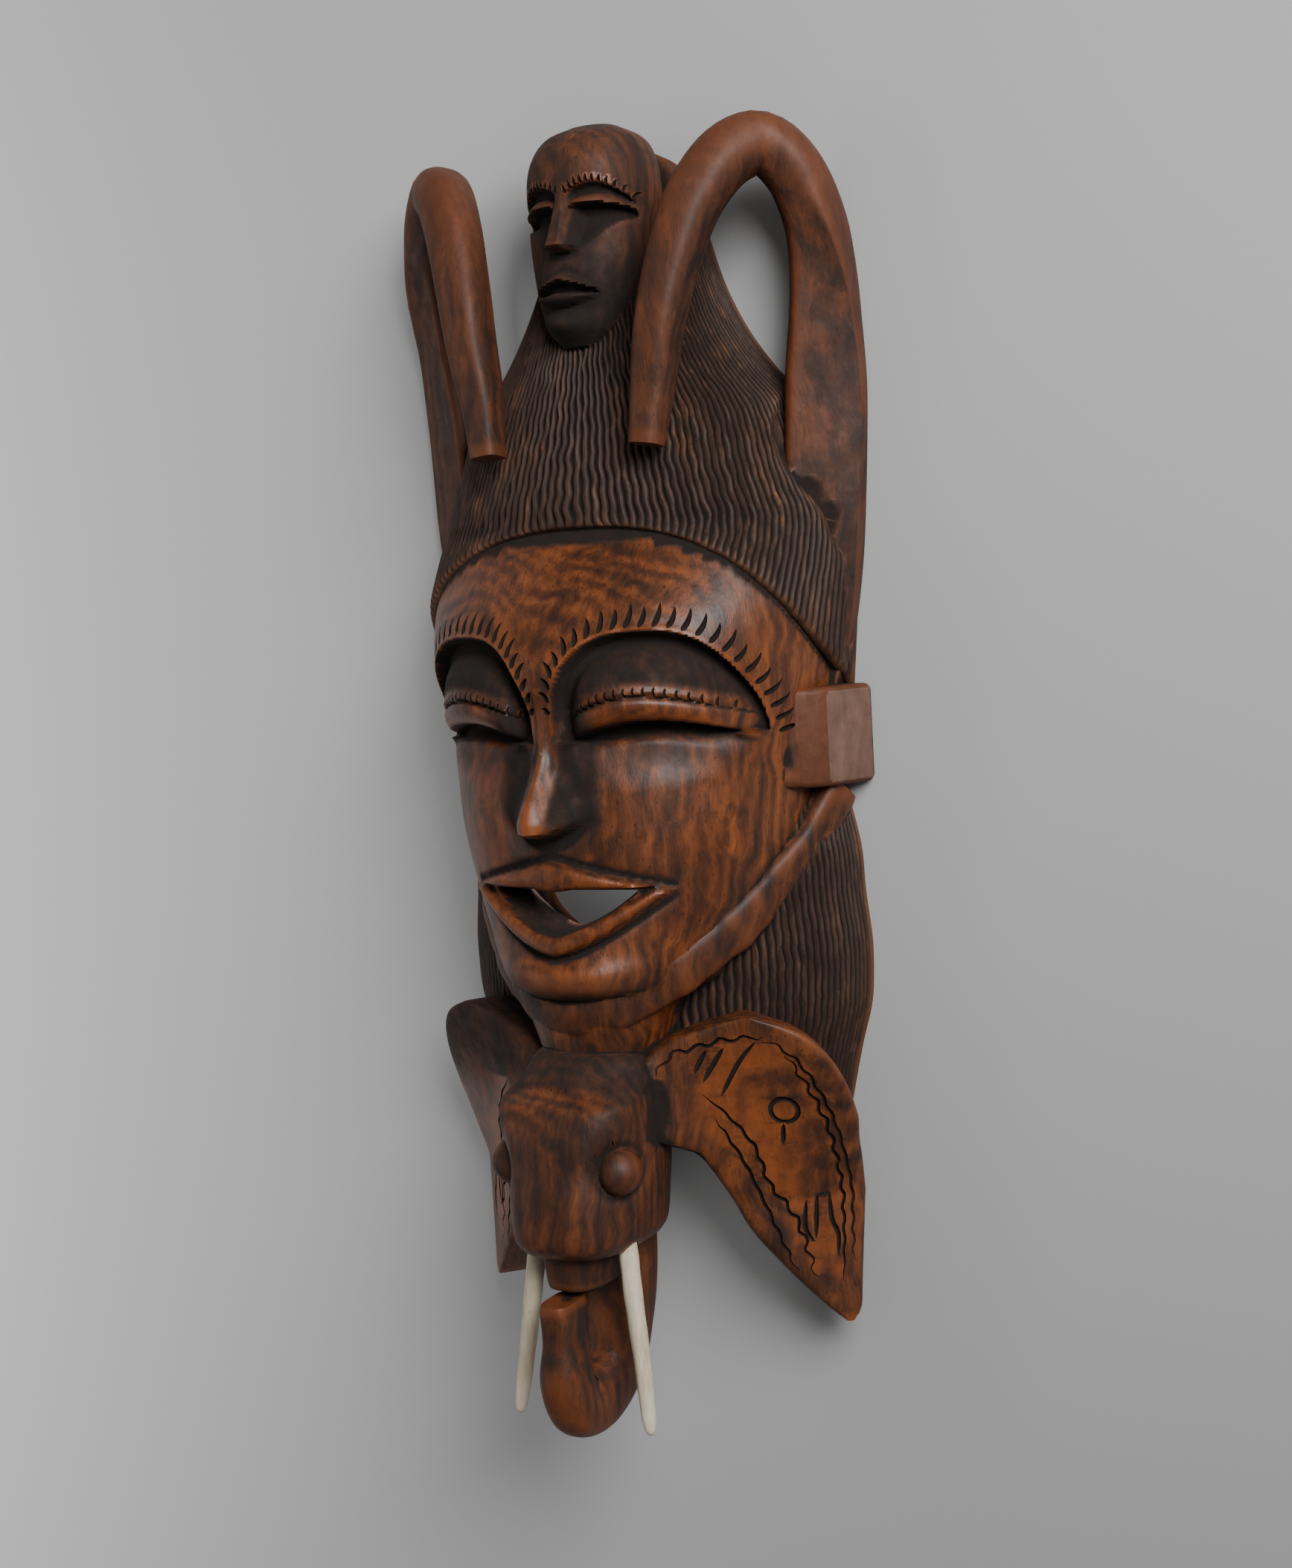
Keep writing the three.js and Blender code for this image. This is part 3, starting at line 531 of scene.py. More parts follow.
def face_painted_shade(x, y):
    """Painted shade by the hair, round the lips, beside and under the nose and below the eyes, and
    darker towards the jaw.
    """
    half_width, _ = face_section(y)
    side = np.abs(x)
    across = np.clip(side / half_width, 0, 1)
    edge = hairline(np.sin(np.arccos(across ** (FACE_ROUNDNESS / 2))))
    by_hair = ease(y, edge - 3.5, edge)
    top, bottom, _, _ = lip_lines(x)
    round_lips = np.maximum(hump(y, top + 2, 2.6), hump(y, bottom - 2, 2.4))
    under_nose = hump(y, nose_foot(x) - NOSE_UNDERCUT + 1, 4) * hump(x, 0, 25, 4)
    nose_side = ease(side, 4, 9) * (1 - ease(side, 20, 34)) * (
        ease(y, NOSE_TIP_Y - 12, NOSE_TIP_Y) * (1 - ease(y, BROW_Y - 20, BROW_Y)))
    below_eye = hump(y, SOCKET_Y - 6, 14) * hump(side, SOCKET_X, 34, 4)
    jaw = 1 - ease(y, CHIN_Y + 4, CHIN_Y + 26)
    return np.maximum.reduce([
        eye_painted_shade(x, y), by_hair, 0.75 * round_lips * (side < MOUTH_HALF_WIDTH),
        0.8 * under_nose, 0.75 * nose_side, 0.4 * below_eye, 0.55 * jaw])


def face(sizes):
    """The whole face, with its rows closest over the mouth and the eyes."""
    sides = 180
    rows = spread(CHIN_Y, (-80, 9), (-26, 42), (6, 19), (14, 5), (76, 52), (HAIRLINE_Y + 16, 14))
    count = len(rows) - 1

    def place(turn, share):
        y = rows[np.rint(share * count).astype(int)]
        x, z = half_oval(turn, *face_section(y), FACE_ROUNDNESS, sides, 0.45)
        carved = np.where(z > 1, z + face_surface(x, y, sizes) - face_front(x, y), z)
        return x, y, np.maximum(carved, 0), face_painted_shade(x, y)

    return loft("face", sides, count, place)


def mouth_opening():
    """The mouth goes through the wall and narrows on the way in, with painted shade on its inner
    walls.
    """
    rings = profile((0, ELEPHANT_FRONT + 20, 1.1), (0.25, FACE_DEPTH + 1, 1.02),
                    (0.4, FACE_DEPTH - 9, 0.95), (0.6, FACE_DEPTH - 18, 0.78),
                    (0.75, FACE_DEPTH - 32, 0.62), (1, 20, 0.6))

    def place(turn, share):
        z, scale = rings(share)
        angle = 2 * math.pi * turn
        x = 0.84 * MOUTH_HALF_WIDTH * np.cos(angle)
        _, _, open_top, open_bottom = lip_lines(x)
        middle = MOUTH_Y - 6
        y = np.where(np.sin(angle) > 0, open_top, open_bottom)
        return x * scale + 12 * np.maximum(0.95 - scale, 0), middle + (y - middle) * scale ** 0.6, z

    return loft("mouth_opening", 72, 16, place, stain_and_shade=0.75)


hollow_sections = profile(
    (0, 0.5, 0.6), (0.1, 0.78, 0.92), (0.25, 0.88, 1), (0.5, 0.97, 1), (0.7, 1, 1),
    (0.85, 0.92, 0.8), (1, 0.6, 0.4))


def hollow():
    """The hollow behind the face, open at the back."""
    sides = 50

    def place(turn, share):
        y = HOLLOW_BOTTOM_Y + (HOLLOW_TOP_Y - HOLLOW_BOTTOM_Y) * share
        width, depth = hollow_sections(share)
        room = np.minimum(depth * (FACE_DEPTH - WALL), face_front(np.zeros_like(y), y) - WALL)
        x, z = half_oval(turn, width * HOLLOW_HALF_WIDTH, room, 2.2, sides)
        gouged = z + 0.7 * np.sin(x * 0.55 + np.sin(y * 0.21) * 2) * np.sin(y * 0.3)
        return x, y, np.where(z > 2, gouged, np.where(z > 0, z, -5))

    return loft("hollow", sides, 44, place)


# Small cuts


pointed_taper = profile((0, 0.3), (0.1, 0.85), (0.3, 1), (0.6, 0.8), (0.85, 0.42), (1, 0.03))
even_taper = profile((0, 0.15), (0.15, 0.8), (0.5, 1), (0.85, 0.8), (1, 0.15))


def scoop(name, points, width, depth, outward, taper=pointed_taper, sides=10, rows=10):
    """A gouge cut along points on the surface, with painted shade inside it."""

    def section(turn, share):
        size = taper(share)
        return oval(turn, size * width / 2, size * depth, 1.6)

    return sweep(name, Route(points), sides, rows, facing(*outward), section, stain_and_shade=0.95)


def socket_edge(angle, grow):
    """A point of the socket's edge, or of a line a little outside it."""
    height = SOCKET_HEIGHT if angle > 0 else SOCKET_HEIGHT * SOCKET_LOWER_SHARE
    x = SOCKET_X + (SOCKET_HALF_WIDTH + grow) * signed_power(math.cos(angle), 2 / 2.6)
    return max(x, 3.4), SOCKET_Y + (height + grow) * signed_power(math.sin(angle), 2 / 2.2)


def brow_notches(side, sizes):
    """Flame-shaped gouges along the upper edge of an eye socket, which lean upwards."""
    angles = np.linspace(0.93 * math.pi, -0.01 * math.pi, 200)
    edge = np.array([socket_edge(angle, 1.4) for angle in angles])
    walked = np.concatenate([[0], np.cumsum(np.linalg.norm(np.diff(edge, axis=0), axis=1))])
    count, length = sizes.brow_notches, sizes.brow_notch_length / MM
    made = []
    for index in range(count):
        share = index / (count - 1)
        place = [float(np.interp(share * walked[-1], walked, axis)) for axis in edge.T]
        angle = float(np.interp(share * walked[-1], walked, angles))
        radial = unit(np.array([math.cos(angle) * 1.1, math.sin(angle)]))
        lean = unit(0.5 * radial + (0, 0.5))
        reach = length * (1 - 0.4 * abs(2 * share - 1) ** 3) * (0.95 + 0.09 * math.sin(2.7 * index))
        if lean[0] < 0:
            reach = min(reach, (place[0] - 1.8) / -lean[0])
        points = []
        for step in (0, 0.35, 0.7, 1):
            bend = 0.9 * math.sin(math.pi * step) * np.array([lean[1], -lean[0]])
            x, y = np.array(place) + lean * reach * step + bend
            front = face_surface(np.array([x]), np.array([y]), sizes)[0]
            points.append((side * x, y, float(front) - 0.3))
        out = (points[1][0] * 0.45, points[1][1] * 0.12, 100)
        made.append(scoop(f"brow_notch_{index}", points, 2.8, 2.4, out))
    return made


def lash_cuts(side, sizes):
    """Short cuts that part the lashes along each lid."""
    made = []
    for index in range(sizes.lash_cuts):
        share = (index + 0.5) / sizes.lash_cuts
        x = SOCKET_X + (share - 0.5) * 1.62 * SOCKET_HALF_WIDTH
        _, lash, _, room = (float(line[0]) for line in lid_lines(np.array([x])))
        lean = 1.6 * (share - 0.5)
        points = []
        for up in (0.4, 2.4, 4.8):
            at_x, at_y = side * (x + lean * up / 5), lash + up * (0.6 + 0.4 * room)
            front = face_surface(np.array([at_x]), np.array([at_y]), sizes)[0]
            points.append((at_x, at_y, float(front) - 0.1))
        made.append(scoop(f"lash_cut_{index}", points, 1.3, 1.5, (0, 0.3, 1), even_taper,
                          6, 6))
    return made


# The hair


hair_sections = profile(
    (-0.45, 0.95, 1.56), (-0.3, 0.975, 1.54), (-0.2, 0.99, 1.41), (-0.1, 1, 1.2),
    (0, 0.99, 1), (0.06, 0.95, 0.99), (0.14, 0.9, 0.96), (0.27, 0.82, 0.89),
    (0.38, 0.66, 0.84), (0.48, 0.54, 0.77), (0.6, 0.44, 0.66), (0.75, 0.36, 0.5),
    (0.88, 0.28, 0.4), (0.95, 0.2, 0.32), (1, 0.1, 0.22))
GROOVE_COLUMNS = 4
groove_shape = np.array([1.0, 0.25, 0.0, 0.25])


def strand_columns(turn, sides):
    """The number of each column's groove, and how deep the column lies in it."""
    column = np.rint(turn * sides).astype(int)
    groove = column // GROOVE_COLUMNS
    return groove, groove_shape[column % GROOVE_COLUMNS], column >= sides - 2


def strand_sway(groove, y):
    """The hand's waver of each groove along the length, from -1 to 1."""
    phase = groove * 0.7 + 0.9 * np.sin(groove * 1.3)
    return (0.6 * np.sin(y / 1.9 + phase) + 0.4 * np.sin(y / 3.7 + 1.7 * phase)) * (
        0.75 + 0.25 * np.sin(y / 23 + 3.1 * phase))


def strand_depth(groove, y, depth):
    """Deep and shallow stretches of a groove."""
    phase = groove * 1.713
    return depth * (0.9 + 0.12 * np.sin(y / 9.7 + phase) + 0.1 * np.sin(y / 4.1 + 2.3 * phase))


def grooved(turn, sides, y, half_width, depth, roundness, sizes, number):
    """A half oval of hair with one wavering groove in every few columns."""
    groove, dip, behind = strand_columns(turn, sides)
    front = np.clip(turn * sides / (sides - 2), 0, 1)
    girth = math.pi * 0.5 * (half_width + depth)
    sway = sizes.groove_sway / MM * strand_sway(groove + number, y) / girth
    swayed = np.where(behind, turn, np.clip(turn + sway * np.sin(math.pi * front) ** 0.5, 0, 1))
    x, z = half_oval(swayed, half_width, depth, roundness, sides)
    cut = dip * strand_depth(groove + number, y, sizes.groove_depth / MM)
    # The fourth value darkens the bottom of each groove as painted shade.
    return x, z, cut, np.where(z > 0.5, dip, 0)


def beside_horn(x, y, z):
    """How far the hair sinks beside a horn's stem, and how far its grooves fade there."""
    inner = 80 + 7.5 * np.clip((y - 60) / 118, 0, 1)
    above = z - 28 + HORN_STEM_SLOPE * np.maximum(np.abs(x) - inner - 5, 0)
    beside = ease(np.abs(x), inner - 3, inner + 1) * ease(y, 96, 112) * (1 - ease(y, 185, 200))
    return 3.5 * beside * (1 - ease(above, 0, 7)), beside * (1 - ease(np.abs(above), 2, 6))


def sunk_in(x, z, depth):
    """Points of a half oval drawn in towards its middle, but for those on its flat back."""
    scale = np.where(z > 0.5, 1 - depth / np.maximum(np.hypot(x, z), 1), 1)
    return x * scale, z * scale


def hair_cone(sizes):
    sides = GROOVE_COLUMNS * sizes.hair_grooves + 2
    steps = np.concatenate([[0, 0.003, 0.008, 0.016, 0.026], np.linspace(0.036, 1, 70)])
    rows = len(steps) - 1

    def place(turn, share):
        step = steps[np.rint(share * rows).astype(int)]
        front = np.clip(turn * sides / (sides - 2), 0, 1)
        start_y = hairline(np.sin(math.pi * front))
        y = start_y + (CROWN_Y - 6 - start_y) * step
        width, depth = hair_sections((y - HAIRLINE_Y) / (CROWN_Y - HAIRLINE_Y))
        rounded_end = 1 - 0.6 * np.clip((step - 0.95) / 0.05, 0, 1) ** 2
        width, depth = width * rounded_end, depth * rounded_end
        roundness = FACE_ROUNDNESS - 0.2 * ease(step, 0, 0.3)
        x, z, cut, dip = grooved(turn, sides, y, width * HAIR_HALF_WIDTH, depth * HAIR_DEPTH,
                                 roundness, sizes, 0)
        sink, fade = beside_horn(x, y, z)
        cut, dip = cut * (1 - fade), dip + (0.4 - dip) * fade
        rounded = np.clip(step / 0.02, 0, 1)
        rim = 3.4 * (1 - np.sqrt(np.clip(1 - (1 - rounded) ** 2, 0, 1)))
        x, z = sunk_in(x, z, cut * (0.25 + 0.75 * rounded) + rim + sink)
        # The groove darkening is painted shade, softer at the rounded rim.
        return x, y, z, dip * (0.3 + 0.7 * rounded)

    return loft("hair_cone", sides, rows, place, HAIR)


back_hair_sections = profile(
    (0, 0.86, 0.8), (0.26, 0.965, 1), (0.4, 0.98, 1), (0.52, 1, 1), (0.6, 1, 1),
    (0.7, 0.985, 1), (0.82, 0.93, 0.95), (1, 0.86, 0.85))


def back_hair(sizes):
    """The hair that hangs behind the jaw on both sides."""
    sides = GROOVE_COLUMNS * (sizes.hair_grooves - 8) + 2
    length = BACK_HAIR_BOTTOM_Y - BACK_HAIR_TOP_Y

    def place(turn, share):
        width, depth = back_hair_sections(share)
        y = BACK_HAIR_TOP_Y + length * share
        x, z, cut, dip = grooved(turn, sides, y, width * BACK_HAIR_HALF_WIDTH,
                                 depth * BACK_HAIR_DEPTH, 2, sizes, 31)
        x, z = sunk_in(x, z, cut)
        return x, y, z, dip

    return loft("back_hair", sides, 52, place, HAIR)


# The small head


small_head_shape = profile(
    (0, 0.42, 0.86), (0.08, 0.62, 0.97), (0.2, 0.8, 0.96), (0.4, 0.96, 0.93), (0.6, 1, 0.93),
    (0.75, 0.98, 0.95), (0.86, 0.9, 0.9), (0.95, 0.7, 0.78), (1, 0.38, 0.6))


def small_lid_lines(side):
    """The small head's brow edge, lid top and lid edge at a distance from its middle."""
    across = (side - SMALL_EYE_X) / SMALL_EYE_HALF_WIDTH
    arch = np.sqrt(np.clip(1 - across ** 2, 0, 1))
    fall = ease(side, SMALL_EYE_X, 2 * SMALL_EYE_X + 0.5)
    return (SMALL_BROW_Y + 11.5 * arch - 2 * fall, SMALL_BROW_Y - 0.5 + 7 * arch - 2 * fall,
            SMALL_BROW_Y - 1.2 + 3 * arch - 1.5 * fall)


def small_lip_lines(side):
    """The small head's upper lip, its parted mouth and the foot of its lower lip."""
    out = np.clip(side / 16.5, 0, 1)
    return (SMALL_MOUTH_Y + 4.5 - 9 * out ** 1.3, SMALL_MOUTH_Y - 5 * out ** 1.3,
            SMALL_MOUTH_Y - 5 - 1.5 * out, SMALL_MOUTH_Y - 11 + 4 * out ** 2)


def small_socket_foot(side):
    """Where the hollow under the small head's eye runs out on the cheek."""
    return SMALL_BROW_Y - 16.5 + 13 * np.clip((side - 9) / 18, 0, 1)


def small_head_relief(x, y):
    """Hollow sockets with closed lids, a wedge nose, parted lips and a chin."""
    side = np.abs(x)
    brow, lid_top, lid_edge = small_lid_lines(side)
    within = ease(side, 1.5, 5) * (1 - ease(side, 26, 30))
    above = 5.5 * ease(brow - y, 0, 1.8)
    fading = np.maximum(lid_edge - small_socket_foot(side), 4) + 2
    below = 9 * (1 - ease(lid_edge - y, 3, fading))
    socket = np.where(y > lid_edge, above, below) * within
    over_lid = way(lid_top - y, lid_top - lid_edge)
    lid = 6.5 * np.sin(0.55 * math.pi * over_lid) ** 0.6 * within
    lid = lid * ease(y, lid_edge - 1.2, lid_edge)

    lip_top, open_top, open_foot, lip_foot = small_lip_lines(side)
    upper = way(lip_top - y, lip_top - open_top)
    lower = way(y - lip_foot, open_foot - lip_foot)
    upper_lip = np.where(y < lip_top, 5 * np.sin(math.pi * (0.12 + 0.6 * upper))
                         * ease(y, open_top - 0.8, open_top + 0.4), 0)
    lower_lip = 5.5 * np.sin(math.pi * (0.1 + 0.62 * lower)) * (y > lip_foot) * (
        1 - ease(y, open_foot - 0.4, open_foot + 0.8))
    parted = 3.5 * ease(y, open_foot - 0.5, open_foot + 0.8) * (
        1 - ease(y, open_top - 0.8, open_top + 0.5))
    mouth = (upper_lip + lower_lip - parted) * (1 - ease(side, 13, 17))
    muzzle = 2.4 * hump(y, SMALL_MOUTH_Y - 2, 11) * hump(side, 0, 15)
    under_lip = 1.8 * hump(y, SMALL_MOUTH_Y - 13, 2.4) * hump(side, 0, 14)
    over_lip = 0.6 * hump(y, lip_top + 1.6, 1.6) * hump(side, 0, 15, 4)
    chin = 2.8 * hump(y, SMALL_MOUTH_Y - 19, 5) * hump(side, 0, 12)
    relief = lid - socket + mouth + muzzle - under_lip - over_lip + chin

    down = np.clip((SMALL_NOSE_TOP_Y - y) / (SMALL_NOSE_TOP_Y - SMALL_NOSE_FOOT_Y), 0, 1)
    height, ridge, base = 1.8 + 9.5 * down ** 1.1, 1.6 + 1.8 * down, 4.2 + 7.8 * down
    plane = np.clip((side - ridge) / (base - ridge), 0, 1)
    foot = 1 - ease(y, SMALL_NOSE_FOOT_Y - 4.5, SMALL_NOSE_FOOT_Y)
    nose = np.where(side < base, height * (1 - plane) - 7 * plane - 14 * foot, -20)
    return np.where(y < SMALL_NOSE_TOP_Y + 1, np.maximum(relief, nose), relief)


def small_head_shade_and_tone(x, y):
    """Painted shade in the sockets, the mouth and the creases, on an even darker tone that deepens
    towards the chin.
    """
    side = np.abs(x)
    brow, lid_top, lid_edge = small_lid_lines(side)
    lip_top, open_top, open_foot, lip_foot = small_lip_lines(side)
    foot = small_socket_foot(side)
    within = ease(side, 3, 6) * (1 - ease(side, 26, 30))
    socket = ease(y, foot - 6, foot + 1) * (1 - ease(y, lid_edge - 0.5, lid_edge)) * within
    over_lid = (ease(y, lid_top - 0.5, lid_top + 0.5)
                * (1 - ease(y, brow - 0.4, brow + 0.4)) * within)
    mouth = (ease(y, open_foot, open_foot + 0.8)
             * (1 - ease(y, open_top - 0.8, open_top)) * (side < 16))
    creases = (hump(y, lip_foot - 2.2, 2) + hump(y, lip_top + 2, 1.8)) * (side < 18)
    under_nose = hump(y, SMALL_NOSE_FOOT_Y - 4, 2.6) * hump(side, 0, 11, 4)
    base = 0.55 + 0.25 * ease(255 - y, 0, 40)
    return np.maximum.reduce([socket, over_lid, mouth, 0.8 * creases, under_nose, base])


def small_head():
    """An egg, with its front carved."""
    height = CROWN_Y - SMALL_CHIN_Y

    def place(turn, share):
        width, depth = small_head_shape(share)
        half_depth = depth * SMALL_HEAD_FRONT - SMALL_HEAD_MIDDLE
        drawn = np.where(turn < 0.5, turn + 0.065 * np.sin(4 * math.pi * turn), turn)
        x, z = oval(drawn, width * SMALL_HEAD_HALF_WIDTH, half_depth, SMALL_HEAD_ROUNDNESS)
        y = SMALL_CHIN_Y + height * share
        front = np.where(z > 0, ease(z, 0, 12), 0)
        back = np.where(z < 0, z * 26 / np.maximum(half_depth, 26), z)
        out = SMALL_HEAD_MIDDLE + back + small_head_relief(x, y) * front
        return x, y, out, np.where(front > 0.5, small_head_shade_and_tone(x, y), 0.4)

    return loft("small_head", 112, 96, place)


def small_head_point(x, y):
    """A point on the front of the small head."""
    width, depth = small_head_shape((y - SMALL_CHIN_Y) / (CROWN_Y - SMALL_CHIN_Y))
    side = min(abs(x) / (float(width) * SMALL_HEAD_HALF_WIDTH), 1)
    bulge = (1 - side ** SMALL_HEAD_ROUNDNESS) ** (1 / SMALL_HEAD_ROUNDNESS)
    front = (float(depth) * SMALL_HEAD_FRONT - SMALL_HEAD_MIDDLE) * bulge
    relief = float(small_head_relief(np.array([float(x)]), np.array([float(y)]))[0])
    return (x, y, SMALL_HEAD_MIDDLE + front + relief)


def small_head_cuts():
    """The small head's notched brows and the crack in its forehead."""
    made = []
    for side in SIDES:
        for index in range(11):
            share = index / 10
            across = 2.8 + 25 * share
            brow = float(small_lid_lines(np.array([across]))[0][0])
            fan = 3.4 * (share - 0.3)
            points = [small_head_point(side * (across + fan * t), brow - 0.6 + (4.6 - share) * t)
                      for t in (0, 0.5, 1)]
            out = (side * across * 1.2, 0.1, 40)
            made.append(scoop(f"small_notch_{index}", points, 1.9, 1.5, out, sides=8, rows=6))
    crack = [small_head_point(x, y) for x, y in
             ((2.2, 302.4), (3.4, 298), (3.0, 293), (3.9, 288), (3.2, 284))]
    made.append(scoop("forehead_crack", crack, 0.5, 1.0, (0, 0.4, 1), even_taper, 6, 12))
    return made


# The horns, the ear blocks and the strap


HORN_ROUTE = (
    (94, 38, 8), (97, 60, 9.5), (101, 116, 13), (104.5, 178, 13), (106.5, 228, 15),
    (105, 252, 19), (98.5, 273, 26), (88.5, 284, 34), (78, 280, 45), (66, 262, 57),
    (57.5, 236, 65), (51, 207, 70), (46, 178, 71), (43, 153, 74))
horn_sizes = profile(
    (0, 0.4 * HORN_STEM_HALF_WIDTH, 0.6 * HORN_STEM_HALF_DEPTH, 5),
    (0.06, 0.68 * HORN_STEM_HALF_WIDTH, 0.72 * HORN_STEM_HALF_DEPTH, 5),
    (0.18, 0.96 * HORN_STEM_HALF_WIDTH, HORN_STEM_HALF_DEPTH, 5),
    (0.33, HORN_STEM_HALF_WIDTH, HORN_STEM_HALF_DEPTH, 5),
    (0.42, 0.84 * HORN_STEM_HALF_WIDTH, HORN_STEM_HALF_DEPTH, 4),
    (0.5, 0.78 * HORN_STEM_HALF_WIDTH, HORN_STEM_HALF_DEPTH, 3),
    (0.6, HORN_ARCH_RADIUS, HORN_ARCH_RADIUS, 2.4),
    (0.67, 0.98 * HORN_ARCH_RADIUS, HORN_ARCH_RADIUS, 2.4),
    (0.76, HORN_ARM_RADIUS, HORN_ARM_RADIUS, 2.8),
    (0.9, 0.8 * HORN_ARM_RADIUS, 0.84 * HORN_ARM_RADIUS, 3.2),
    (0.985, HORN_TIP_RADIUS, HORN_TIP_RADIUS, 3.2),
    (1, 0.93 * HORN_TIP_RADIUS, 0.93 * HORN_TIP_RADIUS, 3.2))


def horn(side):
    """Up the side from behind the ear, over the arch and down in front of the hair.

    The stem is a block whose front slopes down to its outer side. The arch and arm are round.
    """
    route = Route([(side * x, y, z) for x, y, z in HORN_ROUTE])

    def section(turn, share):
        width, depth, roundness = horn_sizes(share)
        outer, front = oval(turn, width, depth, roundness)
        slope = HORN_STEM_SLOPE * (1 - ease(share, 0.4, 0.58))
        front = np.minimum(front, depth - slope * np.maximum(outer + width - 5, 0))
        waver = 0.975 + 0.02 * np.sin(19 * share + 4 * math.pi * turn + side)
        return side * outer * waver, front

    return sweep(f"horn_{side}", route, 36, 112, facing(0, 0, 1), section, stain_and_shade=0.48)


def ear_block(side):
    """The block of an ear, with a facet that faces out and forward."""
    root = EAR_BLOCK_REACH - 31
    depth = EAR_BLOCK_DEPTH
    plan = ((root, 0), (root, depth), (root + 12, depth - 6), (root + 19, depth - 12),
            (EAR_BLOCK_REACH, 4), (EAR_BLOCK_REACH - 3, 0))
    inset = LEFT_EAR_BLOCK_INSET if side < 0 else 0
    bm = bmesh.new()
    corners = [bm.verts.new((side * (x - inset), EAR_BLOCK_Y - EAR_BLOCK_HEIGHT / 2, z))
               for x, z in plan]
    end = bm.faces.new(corners)
    grown = bmesh.ops.extrude_face_region(bm, geom=[end])
    moved = [item for item in grown["geom"] if isinstance(item, bmesh.types.BMVert)]
    bmesh.ops.translate(bm, verts=moved, vec=(0, EAR_BLOCK_HEIGHT, 0))
    bmesh.ops.bevel(bm, geom=list(bm.edges), offset=3.2, segments=4, profile=0.5,
                    affect="EDGES", material=-1)
    bmesh.ops.recalc_face_normals(bm, faces=bm.faces)
    block = piece_from(bm, f"ear_block_{side}", stain_and_shade=0.5)
    finishes = [FACET if side * face.normal.x > 0.85 else WAXED for face in block.data.polygons]
    block.data.polygons.foreach_set("material_index", finishes)
    return block


STRAP_JAW = ((99, -9, 9), (88.5, -35, 25), (77.5, -52, 40), (67.5, -66, 53), (57, -77, 65),
             (42.5, -88.5, 78), (22, -101, 91))
STRAP_MIDDLE = (0, -107, 97)


def strap():
    """The strap that follows the jaw from ear to ear."""
    mirrored = [(-x, y, z) for x, y, z in reversed(STRAP_JAW)]
    route = Route([*STRAP_JAW, STRAP_MIDDLE, *mirrored])

    def outward(share):
        x, y, z = route.at(share).T
        return np.stack([x, y * 0.35, np.maximum(z, 1)], -1)

    def section(turn, share):
        waver = 1 + 0.05 * np.sin(60 * share) + 0.03 * np.sin(133 * share)
        middle = 1 - ease(np.abs(share - 0.5), 0.02, 0.2)
        thickness = STRAP_THICKNESS * waver * (1 - 0.2 * middle)
        return oval(turn, STRAP_HALF_WIDTH * waver, thickness, 3)

    return sweep("strap", route, 26, 120, outward, section, stain_and_shade=0.4)


# The elephant


def neck():
    def place(turn, share):
        x, z = oval(turn, 40 - 12 * share, 42 - 6 * share, 2.4)
        return x, CHIN_Y + (ELEPHANT_CROWN_Y - 12 - CHIN_Y) * share, 60 + z

    return loft("neck", 64, 12, place)


elephant_shape = profile(
    (0, 0.6, 0.72, 0.75), (0.05, 0.8, 0.78, 0.5), (0.13, 0.93, 0.83, 0.2), (0.2, 0.97, 0.865, 0.1),
    (0.25, 1, 0.92, 0), (0.4, 1, 0.965, 0), (0.57, 1, 0.985, 0), (0.7, 0.97, 1, 0),
    (0.86, 0.93, 1, 0.05), (0.95, 0.88, 0.985, 0.1), (1, 0.78, 0.955, 0.15))


def elephant_eye_place(side):
    return np.array([side * 0.82 * ELEPHANT_HALF_WIDTH, ELEPHANT_EYE_Y, 0.83 * ELEPHANT_FRONT])


def beside_eye(x, y, z):
    """How far a point lies from the axis of the nearer eye."""
    middle = elephant_eye_place(1)
    across, up = np.abs(x) - middle[0], y - middle[1]
    sideways = across * 0.73 - (z - middle[2]) * 0.68
    return np.hypot(sideways, up)


elephant_roundness = profile(
    (0, 2.2), (0.14, 2.4), (0.22, 4.6), (0.32, 4.2), (0.45, 3), (0.6, 2.5), (1, 2.8))


def elephant_hollows(x, y, from_eye):
    """How deep the temples, the cheeks and the rings round the eyes are sunk."""
    side = np.abs(x) / ELEPHANT_HALF_WIDTH
    temple = 2.5 * hump(side, 0.86, 0.2) * hump(y, ELEPHANT_EYE_Y, 17)
    cheek = 1.5 * hump(side, 0.8, 0.22) * hump(y, ELEPHANT_EYE_Y - 26, 12)
    return temple + cheek + 1.8 * hump(from_eye, ELEPHANT_EYE_RADIUS + 1, 2.6)


def elephant_stain_and_shade(x, y, from_eye):
    """The dark crown, which ends in a bow over the panel, and painted shade over and round the
    eyes.
    """
    side = np.abs(x) / ELEPHANT_HALF_WIDTH
    panel_top = ELEPHANT_CROWN_Y - 15.5 - 9 * side ** 2
    crown = 0.62 * ease(y, panel_top - 3, panel_top + 3)
    round_eye = 0.7 * hump(from_eye, ELEPHANT_EYE_RADIUS + 1.5, 3.2) * (side > 0.4)
    over_eye = 0.5 * ease(y, ELEPHANT_EYE_Y, ELEPHANT_EYE_Y + 12) * ease(side, 0.55, 0.8)
    return np.maximum.reduce([crown, round_eye, over_eye, np.full_like(y, 0.34)])


